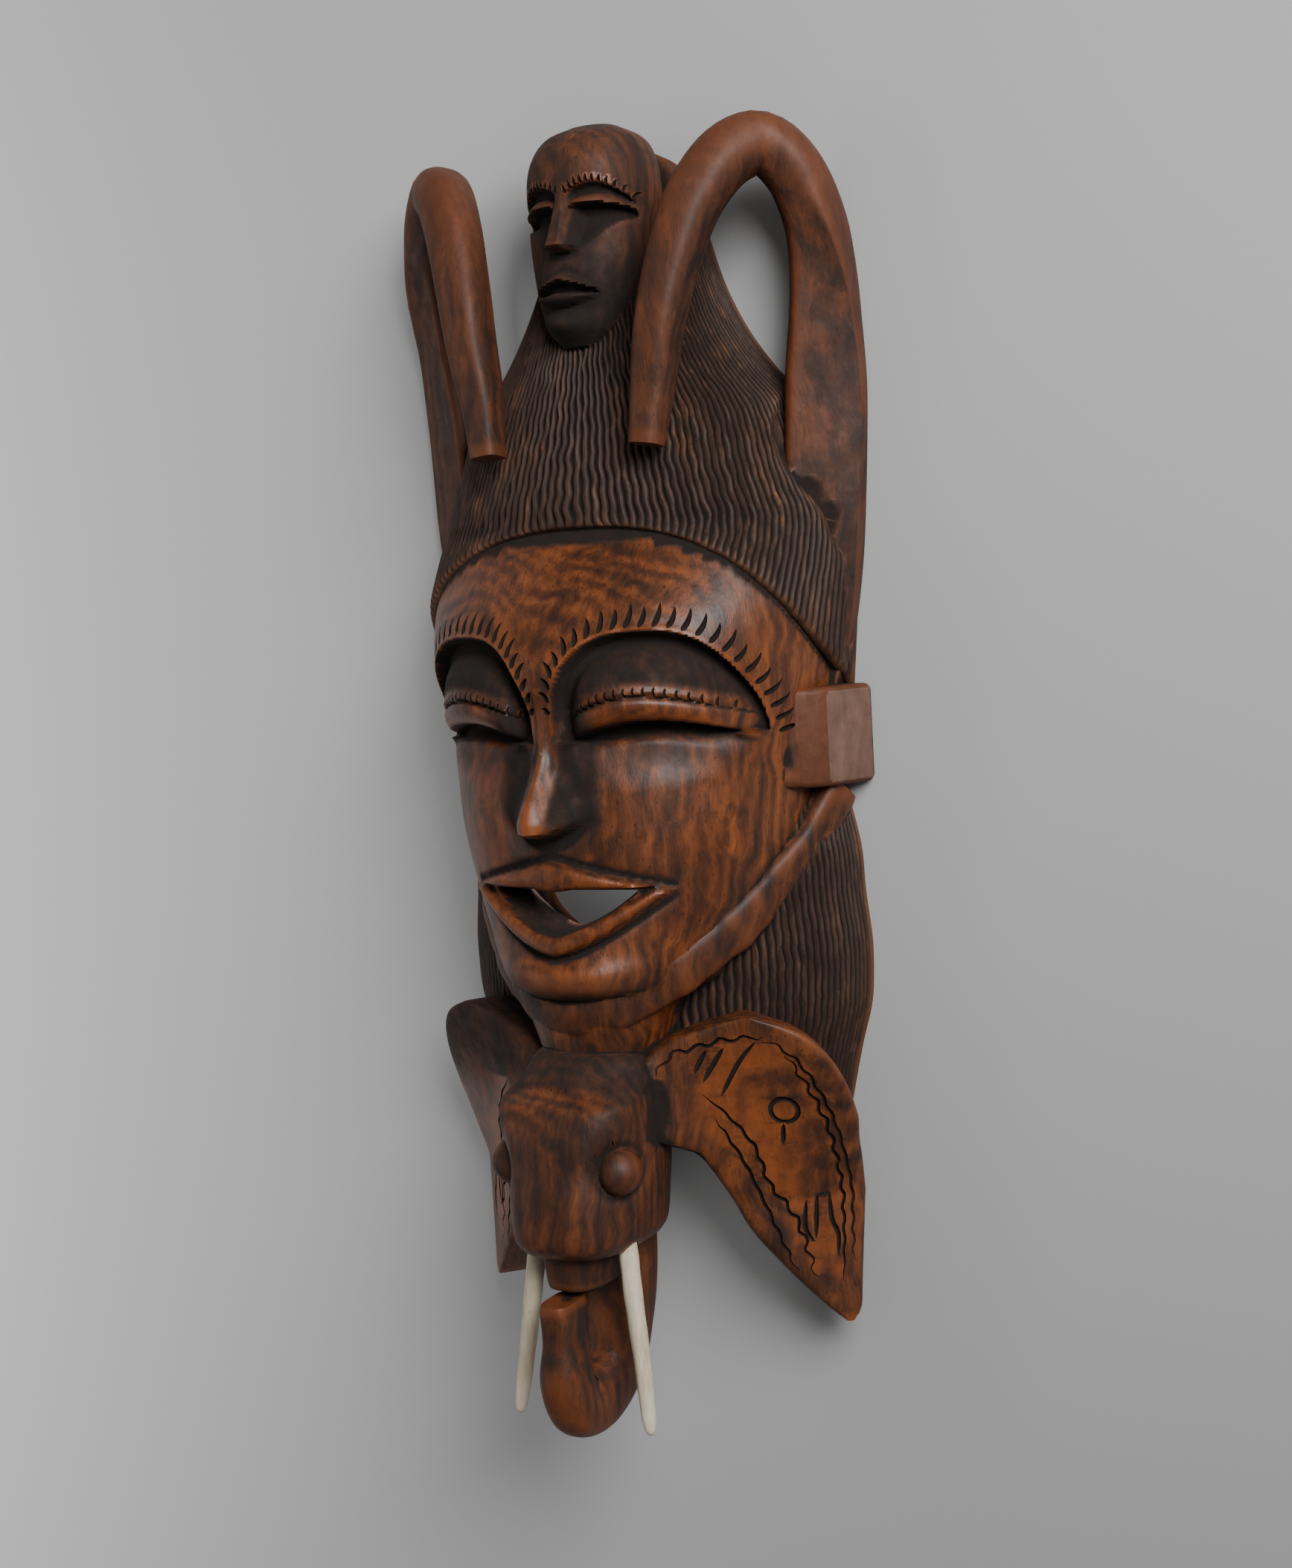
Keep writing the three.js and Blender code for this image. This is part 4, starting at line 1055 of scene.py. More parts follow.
def elephant_head():
    """A domed crown, a flat panel down the front, hollow temples and a square snout."""
    head_length = ELEPHANT_CROWN_Y - SNOUT_Y

    def place(turn, share):
        width, front, back = elephant_shape(share)
        front_z, back_z = front * ELEPHANT_FRONT, ELEPHANT_BACK + back * 20
        roundness = np.where(turn < 0.5, elephant_roundness(share), 3)
        x, z = oval(turn, width * ELEPHANT_HALF_WIDTH, (front_z - back_z) / 2, roundness)
        y = ELEPHANT_CROWN_Y - head_length * share
        out = (front_z + back_z) / 2 + z
        from_eye = beside_eye(x, y, out)
        sunk = np.where(z > 0, elephant_hollows(x, y, from_eye), 0)
        stain_and_shade = np.where(z > 0, elephant_stain_and_shade(x, y, from_eye), 0.4)
        return x * (1 - 0.012 * sunk), y, out - sunk, stain_and_shade

    return loft("elephant_head", 100, 74, place)


def elephant_eye(side):
    bm = bmesh.new()
    bmesh.ops.create_uvsphere(bm, u_segments=36, v_segments=22, radius=ELEPHANT_EYE_RADIUS)
    bmesh.ops.translate(bm, verts=bm.verts, vec=elephant_eye_place(side))
    return piece_from(bm, f"elephant_eye_{side}", stain_and_shade=0.4)


def under_jaw():
    """The root of the trunk under the snout, which narrows down to the risen tip."""
    top_y, foot_y = SNOUT_Y + 12, SNOUT_Y - 21

    def place(turn, share):
        half_width = 18.5 - 5 * share
        front_z, back_z = 123 - 3 * share, 60
        drop = np.sqrt(np.clip(1 - np.clip((share - 0.86) / 0.14, 0, 1) ** 2, 0.45, 1))
        x, z = oval(turn, half_width * drop, (front_z - back_z) / 2 * drop, 3)
        return x, top_y + (foot_y - top_y) * share, (front_z + back_z) / 2 + z

    return loft("under_jaw", 56, 26, place, stain_and_shade=0.5)


TRUNK_ROUTE = ((108, 74), (79, 72), (49, 74), (28, 80), (17.8, 96), (18.8, 113), (32, 120.6),
               (51, 120), (71, 120.5))
trunk_sizes = profile(
    (0, TRUNK_HALF_WIDTH, 22, 2.6), (0.25, 0.95 * TRUNK_HALF_WIDTH, 18, 2.6),
    (0.45, 0.75 * TRUNK_HALF_WIDTH, 16, 2.6), (0.6, 0.65 * TRUNK_HALF_WIDTH, 16, 2.6),
    (0.7, 1.08 * RISEN_TRUNK_HALF_WIDTH, 14.4, 2.4),
    (0.8, 1.04 * RISEN_TRUNK_HALF_WIDTH, 13, 2.5),
    (0.88, 0.78 * RISEN_TRUNK_HALF_WIDTH, 12, 3.2),
    (0.94, 0.72 * RISEN_TRUNK_HALF_WIDTH, 12.2, 3.6),
    (0.985, 0.74 * RISEN_TRUNK_HALF_WIDTH, 12.4, 3.6),
    (1, 0.68 * RISEN_TRUNK_HALF_WIDTH, 11.6, 3.6))


def trunk():
    """The trunk hangs behind, bends under and rises again in front, so it leaves a slot."""
    route = Route([(0, TRUNK_TIP_Y + up, z) for up, z in TRUNK_ROUTE])

    def section(turn, share):
        across, out = oval(turn, *trunk_sizes(share))
        return out, across

    return sweep("trunk", route, 44, 72, facing(1, 0, 0), section, stain_and_shade=0.38)


ear_edges = profile(
    (0, 74, 80), (0.03, 57, 93), (0.07, 42, 102), (0.14, 31, 109), (0.23, 26, 113),
    (0.34, 25, 114), (0.385, 35, 113), (0.42, 48, 112), (0.49, 55, 111), (0.6, 62, 109),
    (0.7, 68, 108), (0.8, 77, 107), (0.9, 87, 106), (0.97, 95, 105), (1, 99, 102))


def ear_front(x, y):
    """The front of an ear slopes back from the head, and its upper rim curls forward."""
    out = np.clip((x - 35) / 65, 0, 1.3)
    curl = 0.42 * np.clip(y - (EAR_TOP_Y - 92), 0, 95)
    return 85 - 0.9 * (x - 35) + curl * out


def elephant_ear(side):
    """A plate with an arched top, a straight outer side and a long cut back to the head."""
    slope_x, slope_y = unit(np.array([1, -0.9]))

    def place(turn, share):
        along = share ** 1.25
        inner, outer = ear_edges(along)
        y = EAR_TOP_Y - (EAR_TOP_Y - EAR_TIP_Y) * along
        across, out = oval(turn, (outer - inner) / 2, EAR_THICKNESS / 2, 5)
        sunk = out - EAR_THICKNESS / 2
        x = (inner + outer) / 2 + across - sunk * slope_y
        # The left ear's upper part gets painted shade; the right ear an even darker tone.
        ear_tone_and_shade = 0.6 * ease(y, -178, -130) if side < 0 else 0.3
        return side * x, y, ear_front(x, y) + sunk / slope_x, ear_tone_and_shade

    return loft(f"elephant_ear_{side}", 56, 60, place)


EAR_LINES = (
    ((51.5, -142.5), (60, -151.6), (70.4, -170.1), (74.2, -191.6), (82.3, -210.4), (88.7, -239.9)),
    ((56.8, -154.3), (66, -178.5), (71.1, -200.1), (76.7, -219.4), (82.4, -237.4)),
    ((79.4, -117.7), (87.5, -121.6), (95.4, -131.5), (100.7, -147), (103.4, -162.8),
     (103.9, -183.5), (102.9, -205.2), (102.4, -233.7)),
    ((90, -124.5), (93.2, -134), (97.2, -146.8), (100.2, -164.1), (100.4, -183.2), (99.4, -201.9),
     (99.2, -219.2), (98.2, -243.6)),
    ((32.9, -137.2), (41.9, -125.3), (53.6, -121.4), (66.6, -118.1), (83.3, -117.1)),
)
EAR_STROKES = (
    ((64.9, -121.7), (54.3, -138.4)), ((79.1, -119.1), (71.5, -127.6), (60.7, -145.9)),
    ((57.2, -122.9), (51.1, -134)), ((83.5, -160.8), (81.8, -171.2)),
    ((85.9, -201.1), (85.4, -215.2), (88.3, -221.4)), ((90.2, -198.8), (88.9, -220)),
    ((94.8, -198), (95.1, -212.5), (97, -218.5), (96.6, -229.9)),
)


EAR_RING = (85.1, -154.2, 5.4)


def on_ear(side, x, y):
    return (side * x, y, float(ear_front(x, y)) - 0.4)


def ear_ring(side, width, depth):
    """The ring cut into the elephant's ear, with painted shade inside it."""
    middle_x, middle_y, radius = EAR_RING

    def place(turn, share):
        angle, tube = 2 * math.pi * turn, 2 * math.pi * share
        reach = radius + 0.6 * width * np.cos(tube)
        x, y = middle_x + reach * np.cos(angle), middle_y + 1.1 * reach * np.sin(angle)
        return side * x, y, ear_front(x, y) + depth * np.sin(tube) - 0.4

    return loft("ear_ring", 28, 6, place, stain_and_shade=1.0)


def ear_cuts(side, sizes):
    """The wavering border lines, the ring and the short strokes cut into an ear."""
    width, depth = sizes.ear_line_width / MM, sizes.ear_line_depth / MM
    lines, strokes = (EAR_LINES, EAR_STROKES) if side > 0 else (EAR_LINES[:2], EAR_STROKES[4:])
    out = (side * 0.6, 0, 0.8)
    made = []
    for number, points in enumerate(lines):
        flat = Route([(x, y, 0) for x, y in points])
        steps = max(int(flat.length / 3), 6)
        shares, step = np.linspace(0, 1, steps), np.arange(steps)
        waver = 0.75 * np.sin(step * 1.9 + number) + 0.5 * np.sin(step * 4.3)
        placed = [on_ear(side, x - along_y * sway, y + along_x * sway) for (x, y, _),
                  (along_x, along_y, _), sway in zip(flat.at(shares), flat.along(shares), waver)]
        made.append(scoop(f"ear_line_{number}", placed, width, depth, out, even_taper,
                          6, steps * 2))
    for number, points in enumerate(strokes):
        placed = [on_ear(side, x, y) for x, y in points]
        made.append(scoop(f"ear_stroke_{number}", placed, 1.35 * width, depth, out, even_taper,
                          6, 12))
    if side > 0:
        made.append(ear_ring(side, width, depth))
    return made


def crown_dashes():
    """Short dashes along the edge of the elephant's dark crown, and strokes over its eyes."""
    made = []
    for index in range(13):
        share = index / 12 - 0.5
        x = share * 46
        y = ELEPHANT_CROWN_Y - 17.5 - 10 * share * share
        z = 113 - 26 * abs(share) ** 2.2
        points = [(x, y + 2.4, z - 0.8), (x, y, z), (x, y - 2.4, z + 0.6)]
        made.append(scoop(f"crown_dash_{index}", points, 1.0, 1.2, (share, 0.5, 1), even_taper,
                          6, 5))
    for side in SIDES:
        middle = elephant_eye_place(side)
        for index in range(6):
            angle = math.pi * (0.42 + 0.09 * index)
            spoke = np.array([side * -math.cos(angle) * 0.8, math.sin(angle), 0])
            start = middle + spoke * (ELEPHANT_EYE_RADIUS + 1.5) + (side * 1.0, 0, 6.0)
            end = start + spoke * 4.5
            made.append(scoop(f"eye_stroke_{index}", [start, (start + end) / 2, end], 1.1, 2.2,
                              (side * 0.5, 0.3, 1), sides=6, rows=5))
    return made


# The tusks


def tusk_frame(side):
    root = np.array([side * 23, SNOUT_Y + TUSK_SOCKET_DEPTH, 99.5])
    return root, unit(np.array([side * 9.5, -70, 6.5]))


tusk_size = profile((0, 0.9), (0.15, 1), (0.6, 0.8), (0.92, 0.5), (1, 0))


def tusk(side):
    """A pale tusk, scraped to flats by hand and blunt at its tip."""
    root, along = tusk_frame(side)
    route = Route([root, root + along * TUSK_LENGTH])

    def section(turn, share):
        radius = TUSK_TIP_RADIUS + (TUSK_RADIUS - TUSK_TIP_RADIUS) * tusk_size(share)
        knife = 0.035 * np.sin(6 * math.pi * turn + 9 * share)
        flats = 1 - knife - 0.02 * np.sin(31 * share + side)
        blunt = np.sqrt(np.clip(1 - np.clip((share - 0.975) / 0.026, 0, 1) ** 2, 0.02, 1))
        free = ease(share * TUSK_LENGTH, TUSK_SOCKET_DEPTH, TUSK_SOCKET_DEPTH + 5)
        shape = radius * (1 + (flats - 1) * free) * blunt
        return oval(turn, shape, shape * 1.1, 2)

    return sweep(f"tusk_{side}", route, 28, 90, facing(0, 0, 1), section)


def tusk_socket(side):
    root, along = tusk_frame(side)
    start = root - along * FIT_GAP
    route = Route([start, start + along * 30])
    radius = TUSK_RADIUS + FIT_GAP

    def section(turn, _):
        return oval(turn, radius * 1.04, radius * 1.14)

    return sweep(f"tusk_socket_{side}", route, 28, 2, facing(0, 0, 1), section)


# Putting the carving together


def behind_block():
    bm = bmesh.new()
    bmesh.ops.create_cube(bm, size=1)
    bmesh.ops.scale(bm, verts=bm.verts, vec=(600, 1200, 60))
    bmesh.ops.translate(bm, verts=bm.verts, vec=(0, 0, -30))
    return piece_from(bm, "behind_block")


def gathered(name, objects):
    group = bpy.data.collections.new(name)
    bpy.context.scene.collection.children.link(group)
    for obj in objects:
        group.objects.link(obj)
    return group


def carve(joined, cuts):
    """One mesh: the first object with the others joined to it and the cuts taken out."""
    base = joined[0]
    bpy.context.scene.collection.objects.link(base)
    groups = []
    for name, objects, operation in (("join", joined[1:], "UNION"), ("cut", cuts, "DIFFERENCE")):
        group = gathered(name, objects)
        step = base.modifiers.new(name, "BOOLEAN")
        step.solver = "MANIFOLD"
        step.operation = operation
        step.operand_type = "COLLECTION"
        step.collection = group
        groups.append(group)
    graph = bpy.context.evaluated_depsgraph_get()
    mesh = bpy.data.meshes.new_from_object(base.evaluated_get(graph))
    for obj in [base] + [part for group in groups for part in group.objects]:
        spare = obj.data
        bpy.data.objects.remove(obj)
        bpy.data.meshes.remove(spare)
    for group in groups:
        bpy.data.collections.remove(group)
    if not mesh.polygons:
        raise RuntimeError("the carving came out empty")
    return mesh


def neighbour_mean(values, edges, counts):
    """The mean of each vertex's neighbours."""
    total = np.zeros_like(values)
    for axis in range(values.shape[1]):
        for ours, theirs in ((0, 1), (1, 0)):
            total[:, axis] += np.bincount(
                edges[:, ours], weights=values[edges[:, theirs], axis], minlength=len(values))
    return total / counts[:, None]


def hollowness(mesh):
    """How far each vertex lies below its surroundings, in millimetres, near and wide."""
    points, edges = points_of(mesh), read(mesh.edges, "vertices", 2, np.int32)
    normals = read(mesh.vertices, "normal", 3).astype(float)
    counts = np.maximum(np.bincount(edges.ravel(), minlength=len(points)), 1)
    smooth = points.copy()
    found = []
    for turns in (6, 44):
        for _ in range(turns):
            smooth = 0.5 * smooth + 0.5 * neighbour_mean(smooth, edges, counts)
        found.append(np.einsum("ij,ij->i", smooth - points, normals))
    blurred = []
    for depth in found:
        for _ in range(3):
            depth = 0.5 * depth + 0.5 * neighbour_mean(depth[:, None], edges, counts)[:, 0]
        blurred.append(depth)
    return blurred


def wax_shade_wear_and_highlight(mesh):
    """Where old polish and painted shade darken the hollows, and where rubbing and a painted
    highlight lighten what stands out.
    """
    near, wide = hollowness(mesh)
    # Painted shade and old polish where the surface lies below its surroundings.
    wax_and_shade = np.clip(near / 0.55, 0, 1) * 0.75 + np.clip(wide / 2.4, 0, 1) * 0.75
    # Rubbed wood and a painted highlight where the surface stands out.
    wear_and_highlight = np.clip(-near / 0.5, 0, 1) * 0.6 + np.clip((-wide - 0.8) / 4, 0, 1) * 0.4
    store(mesh, "wax_and_shade", np.clip(wax_and_shade, 0, 1))
    store(mesh, "wear_and_highlight", np.clip(wear_and_highlight, 0, 1))


def link(name, data):
    """A new object of the scene that carries the data."""
    obj = bpy.data.objects.new(name, data)
    bpy.context.scene.collection.objects.link(obj)
    return obj


def finished(mesh, name):
    """The mesh in metres as an object of the scene, smooth but for its cut edges."""
    mesh.name = name
    mesh.transform(Matrix.Scale(MM, 4))
    mesh.shade_smooth()
    mesh.set_sharp_from_angle(angle=math.radians(48))
    return link(name, mesh)


# Materials


class Value:
    """A number or colour that a material works out over the surface."""

    def __init__(self, finish, socket):
        self.finish = finish
        self.socket = socket

    def _with(self, operation, first, second):
        return self.finish.node("ShaderNodeMath", {"operation": operation}, {0: first, 1: second})

    def __add__(self, other):
        return self._with("ADD", self, other)

    def __radd__(self, other):
        return self._with("ADD", other, self)

    def __sub__(self, other):
        return self._with("SUBTRACT", self, other)

    def __rsub__(self, other):
        return self._with("SUBTRACT", other, self)

    def __mul__(self, other):
        return self._with("MULTIPLY", self, other)

    def __rmul__(self, other):
        return self._with("MULTIPLY", other, self)


class Finish:
    """A material being made. Its node method adds every node but the maths on numbers."""

    def __init__(self, name):
        self.material = bpy.data.materials.get(name) or bpy.data.materials.new(name)
        self.material.use_nodes = True
        self.tree = self.material.node_tree
        self.tree.nodes.clear()

    def node(self, kind, settings=None, values=None, output=0):
        node = self.tree.nodes.new(kind)
        for key, setting in (settings or {}).items():
            if key == "stops":
                self._set_stops(node.color_ramp, setting)
            else:
                setattr(node, key, setting)
        for key, value in (values or {}).items():
            if isinstance(value, Value):
                self.tree.links.new(value.socket, node.inputs[key])
            else:
                node.inputs[key].default_value = value
        return Value(self, node.outputs[output])

    @staticmethod
    def _set_stops(ramp, stops):
        for index, (place, colour) in enumerate(stops):
            stop = ramp.elements[index] if index < 2 else ramp.elements.new(place)
            stop.position = place
            stop.color = (*colour, 1)

    def place(self):
        return self.node("ShaderNodeTexCoord", output="Object")

    def attribute(self, name):
        return self.node("ShaderNodeAttribute", {"attribute_name": name}, output="Fac")

    def stretched(self, vector, scale):
        return self.node("ShaderNodeVectorMath", {"operation": "MULTIPLY"}, {0: vector, 1: scale})

    def shifted(self, vector, other):
        return self.node("ShaderNodeVectorMath", {"operation": "ADD"}, {0: vector, 1: other})

    def noise(self, vector, scale, detail=3.0, roughness=0.55, output=0):
        return self.node("ShaderNodeTexNoise", None,
                         {"Vector": vector, "Scale": scale, "Detail": detail,
                          "Roughness": roughness}, output)

    def smooth(self, value, start, end):
        return self.node("ShaderNodeMapRange", {"interpolation_type": "SMOOTHSTEP"},
                         {"Value": value, "From Min": start, "From Max": end})

    def blend(self, factor, first, second, mode="MIX"):
        settings = {"data_type": "RGBA", "blend_type": mode}
        return self.node("ShaderNodeMix", settings, {0: factor, 6: first, 7: second}, 2)

    def bump(self, height, strength, distance):
        return self.node("ShaderNodeBump", None,
                         {"Strength": strength, "Distance": distance, "Height": height})

    def surface(self, colour, roughness, normal, **constants):
        values = {"Base Color": colour, "Roughness": roughness, "Normal": normal}
        for name, value in constants.items():
            values[name.replace("_", " ").title().replace("Ior", "IOR")] = value
        shader = self.node("ShaderNodeBsdfPrincipled", None, values)
        out = self.tree.nodes.new("ShaderNodeOutputMaterial")
        self.tree.links.new(shader.socket, out.inputs["Surface"])
        return self.material


def rgba(colour):
    return (colour[0], colour[1], colour[2], 1.0)


def darker(colour, share):
    return tuple(channel * share for channel in colour[:3])


def drifting(finish, place):
    """The place bent a little, so that the grain drifts as in a living tree."""
    drift = finish.noise(place, 16.0, 3.0, output="Color")
    centred = finish.node("ShaderNodeVectorMath", {"operation": "SUBTRACT"},
                          {0: drift, 1: (0.5, 0.5, 0.5)})
    return finish.shifted(place, finish.stretched(centred, (0.028, 0.035, 0.028)))


def figure(finish, bent, dark, light, middle):
    """The figure of the wood: clouds, long grain and faint rings, from dark to light."""
    clouds = finish.noise(finish.stretched(bent, (1.0, 0.4, 1.0)), 38.0, 5.0, 0.64)
    grain = finish.noise(finish.stretched(bent, (1.0, 0.09, 1.0)), 210.0, 4.0, 0.62)
    from_pith = finish.node(
        "ShaderNodeVectorMath", {"operation": "LENGTH"},
        {0: finish.shifted(finish.stretched(bent, (1.0, 0.2, 1.0)), (-0.035, 0.0, 0.07))}, "Value")
    wave = finish.node("ShaderNodeMath", {"operation": "SINE"}, {0: from_pith * 1150.0})
    tone = clouds * 0.52 + grain * 0.4 + (wave * 0.5 + 0.5) * 0.08
    stops = ((0.38, tuple(dark)), (0.48, darker(middle, 0.65)), (0.57, darker(middle, 1.25)),
             (0.68, tuple(light)))
    return finish.node("ShaderNodeValToRGB", {"stops": stops}, {0: tone})


def marked(finish, place, fibres, colour, dark, wax_and_shade):
    """Dark fibres, smudges from hands and small pits filled with wax."""
    colour = finish.blend(finish.smooth(fibres, 0.52, 0.7) * 0.5, colour, rgba(darker(dark, 0.6)))
    smudges = finish.smooth(finish.noise(place, 52.0, 5.0, 0.68), 0.53, 0.68)
    colour = finish.blend(smudges * 0.5, colour, rgba(darker(dark, 0.7)))
    holes = finish.noise(finish.stretched(place, (1.0, 0.5, 1.0)), 520.0, 2.0)
    return finish.blend(finish.smooth(holes, 0.66, 0.73) * 0.7, colour, rgba(wax_and_shade))


def wood_finish(name, colours, light, middle, worn_and_lit, wax_and_shade_amount, dryness, coat):
    """Waxed hardwood: figure and fibres along the length, dark polish and painted shade in the
    cuts, rubbed edges with a painted highlight.
    """
    finish = Finish(name)
    place = finish.place()
    bent = drifting(finish, place)
    fibres = finish.noise(finish.stretched(bent, (1.0, 0.035, 1.0)), 820.0, 3.0, 0.6)
    colour = figure(finish, bent, colours.wood_dark, light, middle)
    colour = marked(finish, place, fibres, colour, colours.wood_dark, colours.wax_and_shade)

    patches = finish.noise(place, 110.0, 4.0, 0.65)
    # Convex edges turn lighter: rubbed wood with a painted highlight.
    wear_and_highlight = finish.smooth(finish.attribute("wear_and_highlight") * (0.35 + patches * 1.3), 0.25, 0.9)
    colour = finish.blend(wear_and_highlight * 0.6, colour, rgba(worn_and_lit))
    # Hollows, cuts and stained parts turn dark: old polish and real stains, with painted shade.
    wax_and_shade = finish.smooth(finish.attribute("wax_and_shade") * (0.55 + patches * 0.9), 0.15, 0.75)
    stain_and_shade = finish.smooth(finish.attribute("stain_and_shade") * (0.7 + patches * 0.6), 0.1, 0.85)
    dark = finish.node("ShaderNodeMath", {"operation": "MAXIMUM"}, {0: wax_and_shade, 1: stain_and_shade})
    colour = finish.blend(dark * wax_and_shade_amount, colour, rgba(colours.wax_and_shade))

    pores = finish.noise(finish.stretched(bent, (1.0, 0.08, 1.0)), 1600.0, 2.0)
    tool = finish.noise(finish.stretched(place, (1.0, 0.7, 1.0)), 130.0, 2.0)
    normal = finish.bump(fibres * 0.5 + pores * 0.35 + tool * 1.6, 0.5, 0.0006)
    roughness = dryness + 0.14 * patches + 0.45 * dark - 0.05 * wear_and_highlight
    return finish.surface(colour, roughness, normal, coat_weight=coat - coat * dark,
                          coat_roughness=0.36, specular_ior_level=0.38)


def bone_finish(name, colours):
    """Cream bone: faint length-wise growth lines, clouds and dark specks."""
    finish = Finish(name)
    place = finish.place()
    lines = finish.noise(finish.stretched(place, (1.0, 0.05, 1.0)), 900.0, 3.0)
    clouds = finish.noise(place, 60.0, 3.0)
    tone = lines * 0.5 + clouds * 0.5
    colour = finish.node("ShaderNodeValToRGB", {"stops": (
        (0.3, tuple(colours.bone_dark)), (0.62, tuple(colours.bone_light)))}, {0: tone})
    specks = finish.smooth(finish.noise(place, 420.0, 2.0), 0.66, 0.74)
    colour = finish.blend(specks * 0.35, colour, rgba(darker(colours.bone_dark, 0.5)))
    normal = finish.bump(lines, 0.25, 0.0004)
    return finish.surface(colour, 0.42 + 0.12 * clouds, normal, coat_weight=0.05)


def plain_finish(name, colour, roughness):
    """A matt paint with a trace of grain."""
    finish = Finish(name)
    place = finish.place()
    grain = finish.noise(place, 900.0, 2.0)
    shade = finish.blend(grain, rgba(darker(colour, 0.97)), rgba(darker(colour, 1.03)))
    return finish.surface(shade, roughness, finish.bump(grain, 0.05, 0.0003))


# What a user can change


def length_property(name, description, default):
    return FloatProperty(
        name=name, description=description, default=default, unit="LENGTH", precision=4)


def count_property(name, description, default):
    return IntProperty(name=name, description=description, default=default, min=8)


def power_property(name, description, default):
    return FloatProperty(name=name, description=description, default=default, unit="POWER")


class MaskSizes(bpy.types.PropertyGroup):
    hair_grooves: count_property("Hair grooves", "Grooves from side to side", 80)
    groove_depth: length_property("Groove depth", "Depth of a hair groove", 0.002)
    groove_sway: length_property("Groove sway", "How far a groove wavers sideways", 0.0008)
    socket_depth: length_property("Socket depth", "Depth of the cut under the brow", 0.0105)
    lid_height: length_property("Lid height", "How far a closed lid swells", 0.013)
    lip_height: length_property("Lip height", "How far the lips stand out", 0.005)
    brow_notches: count_property("Brow notches", "Gouges over each eye", 25)
    brow_notch_length: length_property("Notch length", "Length of a brow gouge", 0.0105)
    lash_cuts: count_property("Lash cuts", "Cuts along each lid", 17)
    ear_line_width: length_property("Ear line width", "Width of a line in an ear", 0.0019)
    ear_line_depth: length_property("Ear line depth", "Depth of a line in an ear", 0.0018)


def colour_property(name, description, default):
    return FloatVectorProperty(
        name=name, description=description, default=default, subtype="COLOR", min=0, max=1)


class MaskColours(bpy.types.PropertyGroup):
    wood_light: colour_property("Light wood", "The palest grain", (0.25, 0.066, 0.013))
    wood_middle: colour_property("Middle wood", "The usual grain", (0.135, 0.037, 0.0095))
    wood_dark: colour_property("Dark wood", "Dark grain and stains", (0.03, 0.011, 0.006))
    # The rubbed-edge colour is also a painted highlight on convex edges.
    worn_and_lit_edge: colour_property("Worn edge", "Rubbed edges", (0.27, 0.068, 0.014))
    # The dark polish colour is also the painted shade in cuts and hollows.
    wax_and_shade: colour_property("Wax", "Old wax in the cuts", (0.008, 0.0055, 0.0045))
    # The pale hair colour is also a painted highlight on the hair's ridges.
    hair_light: colour_property("Hair ridges", "The palest hair", (0.15, 0.055, 0.02))
    hair_middle: colour_property("Hair", "The usual hair", (0.048, 0.021, 0.011))
    # The ear facet's pale grey-pink is partly a painted sheen.
    facet_colour_and_sheen: colour_property("Ear facet", "The dry face of an ear block", (0.32, 0.17, 0.115))
    bone_light: colour_property("Bone", "The tusks", (0.72, 0.64, 0.48))
    bone_dark: colour_property("Dark bone", "The tusks' darker lines", (0.5, 0.4, 0.26))
    floor: colour_property("Floor", "The plain pale floor", (0.46, 0.46, 0.46))


class MaskStage(bpy.types.PropertyGroup):
    key_power: power_property("Key light", "Power of the large soft light", 12.0)
    side_power: power_property("Side light", "Power of the light at the left", 9.5)
    hollow_power: power_property("Hollow light", "Power of the light behind the mouth", 0.05)
    sky_strength: FloatProperty(
        name="Room light", description="Strength of the even light of the room", default=0.16)
    focal_length: FloatProperty(
        name="Focal length", description="The camera's lens, for a 36 mm sensor", default=49.12)


# Operators


class MASK_OT_carved_mask(bpy.types.Operator):
    """Carve the mask's wooden body in one piece"""

    bl_idname = "mask.carved_mask"
    bl_label = "Carved mask"

    def execute(self, context):
        sizes, colours = context.scene.mask_sizes, context.scene.mask_colours
        wood_finish("waxed_wood", colours, colours.wood_light, colours.wood_middle,
                    colours.worn_and_lit_edge, wax_and_shade_amount=0.95, dryness=0.4, coat=0.16)
        # On the hair the ridges take the pale hair colour as a painted highlight, and the grooves
        # painted shade.
        wood_finish("grooved_hair", colours, colours.hair_light, colours.hair_middle,
                    colours.hair_light, wax_and_shade_amount=0.97, dryness=0.58, coat=0.0)
        # The ear facet's pale colour is partly a painted sheen.
        wood_finish("ear_facet", colours, colours.facet_colour_and_sheen, darker(colours.facet_colour_and_sheen, 0.6),
                    colours.facet_colour_and_sheen, wax_and_shade_amount=0.85, dryness=0.45, coat=0.1)
        joined = [face(sizes), hair_cone(sizes), back_hair(sizes), small_head(), strap(), neck(),
                  elephant_head(), under_jaw(), trunk()]
        cuts = [hollow(), mouth_opening(), behind_block(), *small_head_cuts(), *crown_dashes()]
        for side in SIDES:
            joined += [horn(side), ear_block(side), elephant_ear(side)]
            cuts += [tusk_socket(side), *brow_notches(side, sizes), *lash_cuts(side, sizes)]
            cuts += ear_cuts(side, sizes)
        eyes = [elephant_eye(side) for side in SIDES]
        mesh = carve(joined + eyes, cuts)
        wax_shade_wear_and_highlight(mesh)
        mask = finished(mesh, "carved_mask")
        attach(mask, "root")
        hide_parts("mask_body")
        return {"FINISHED"}


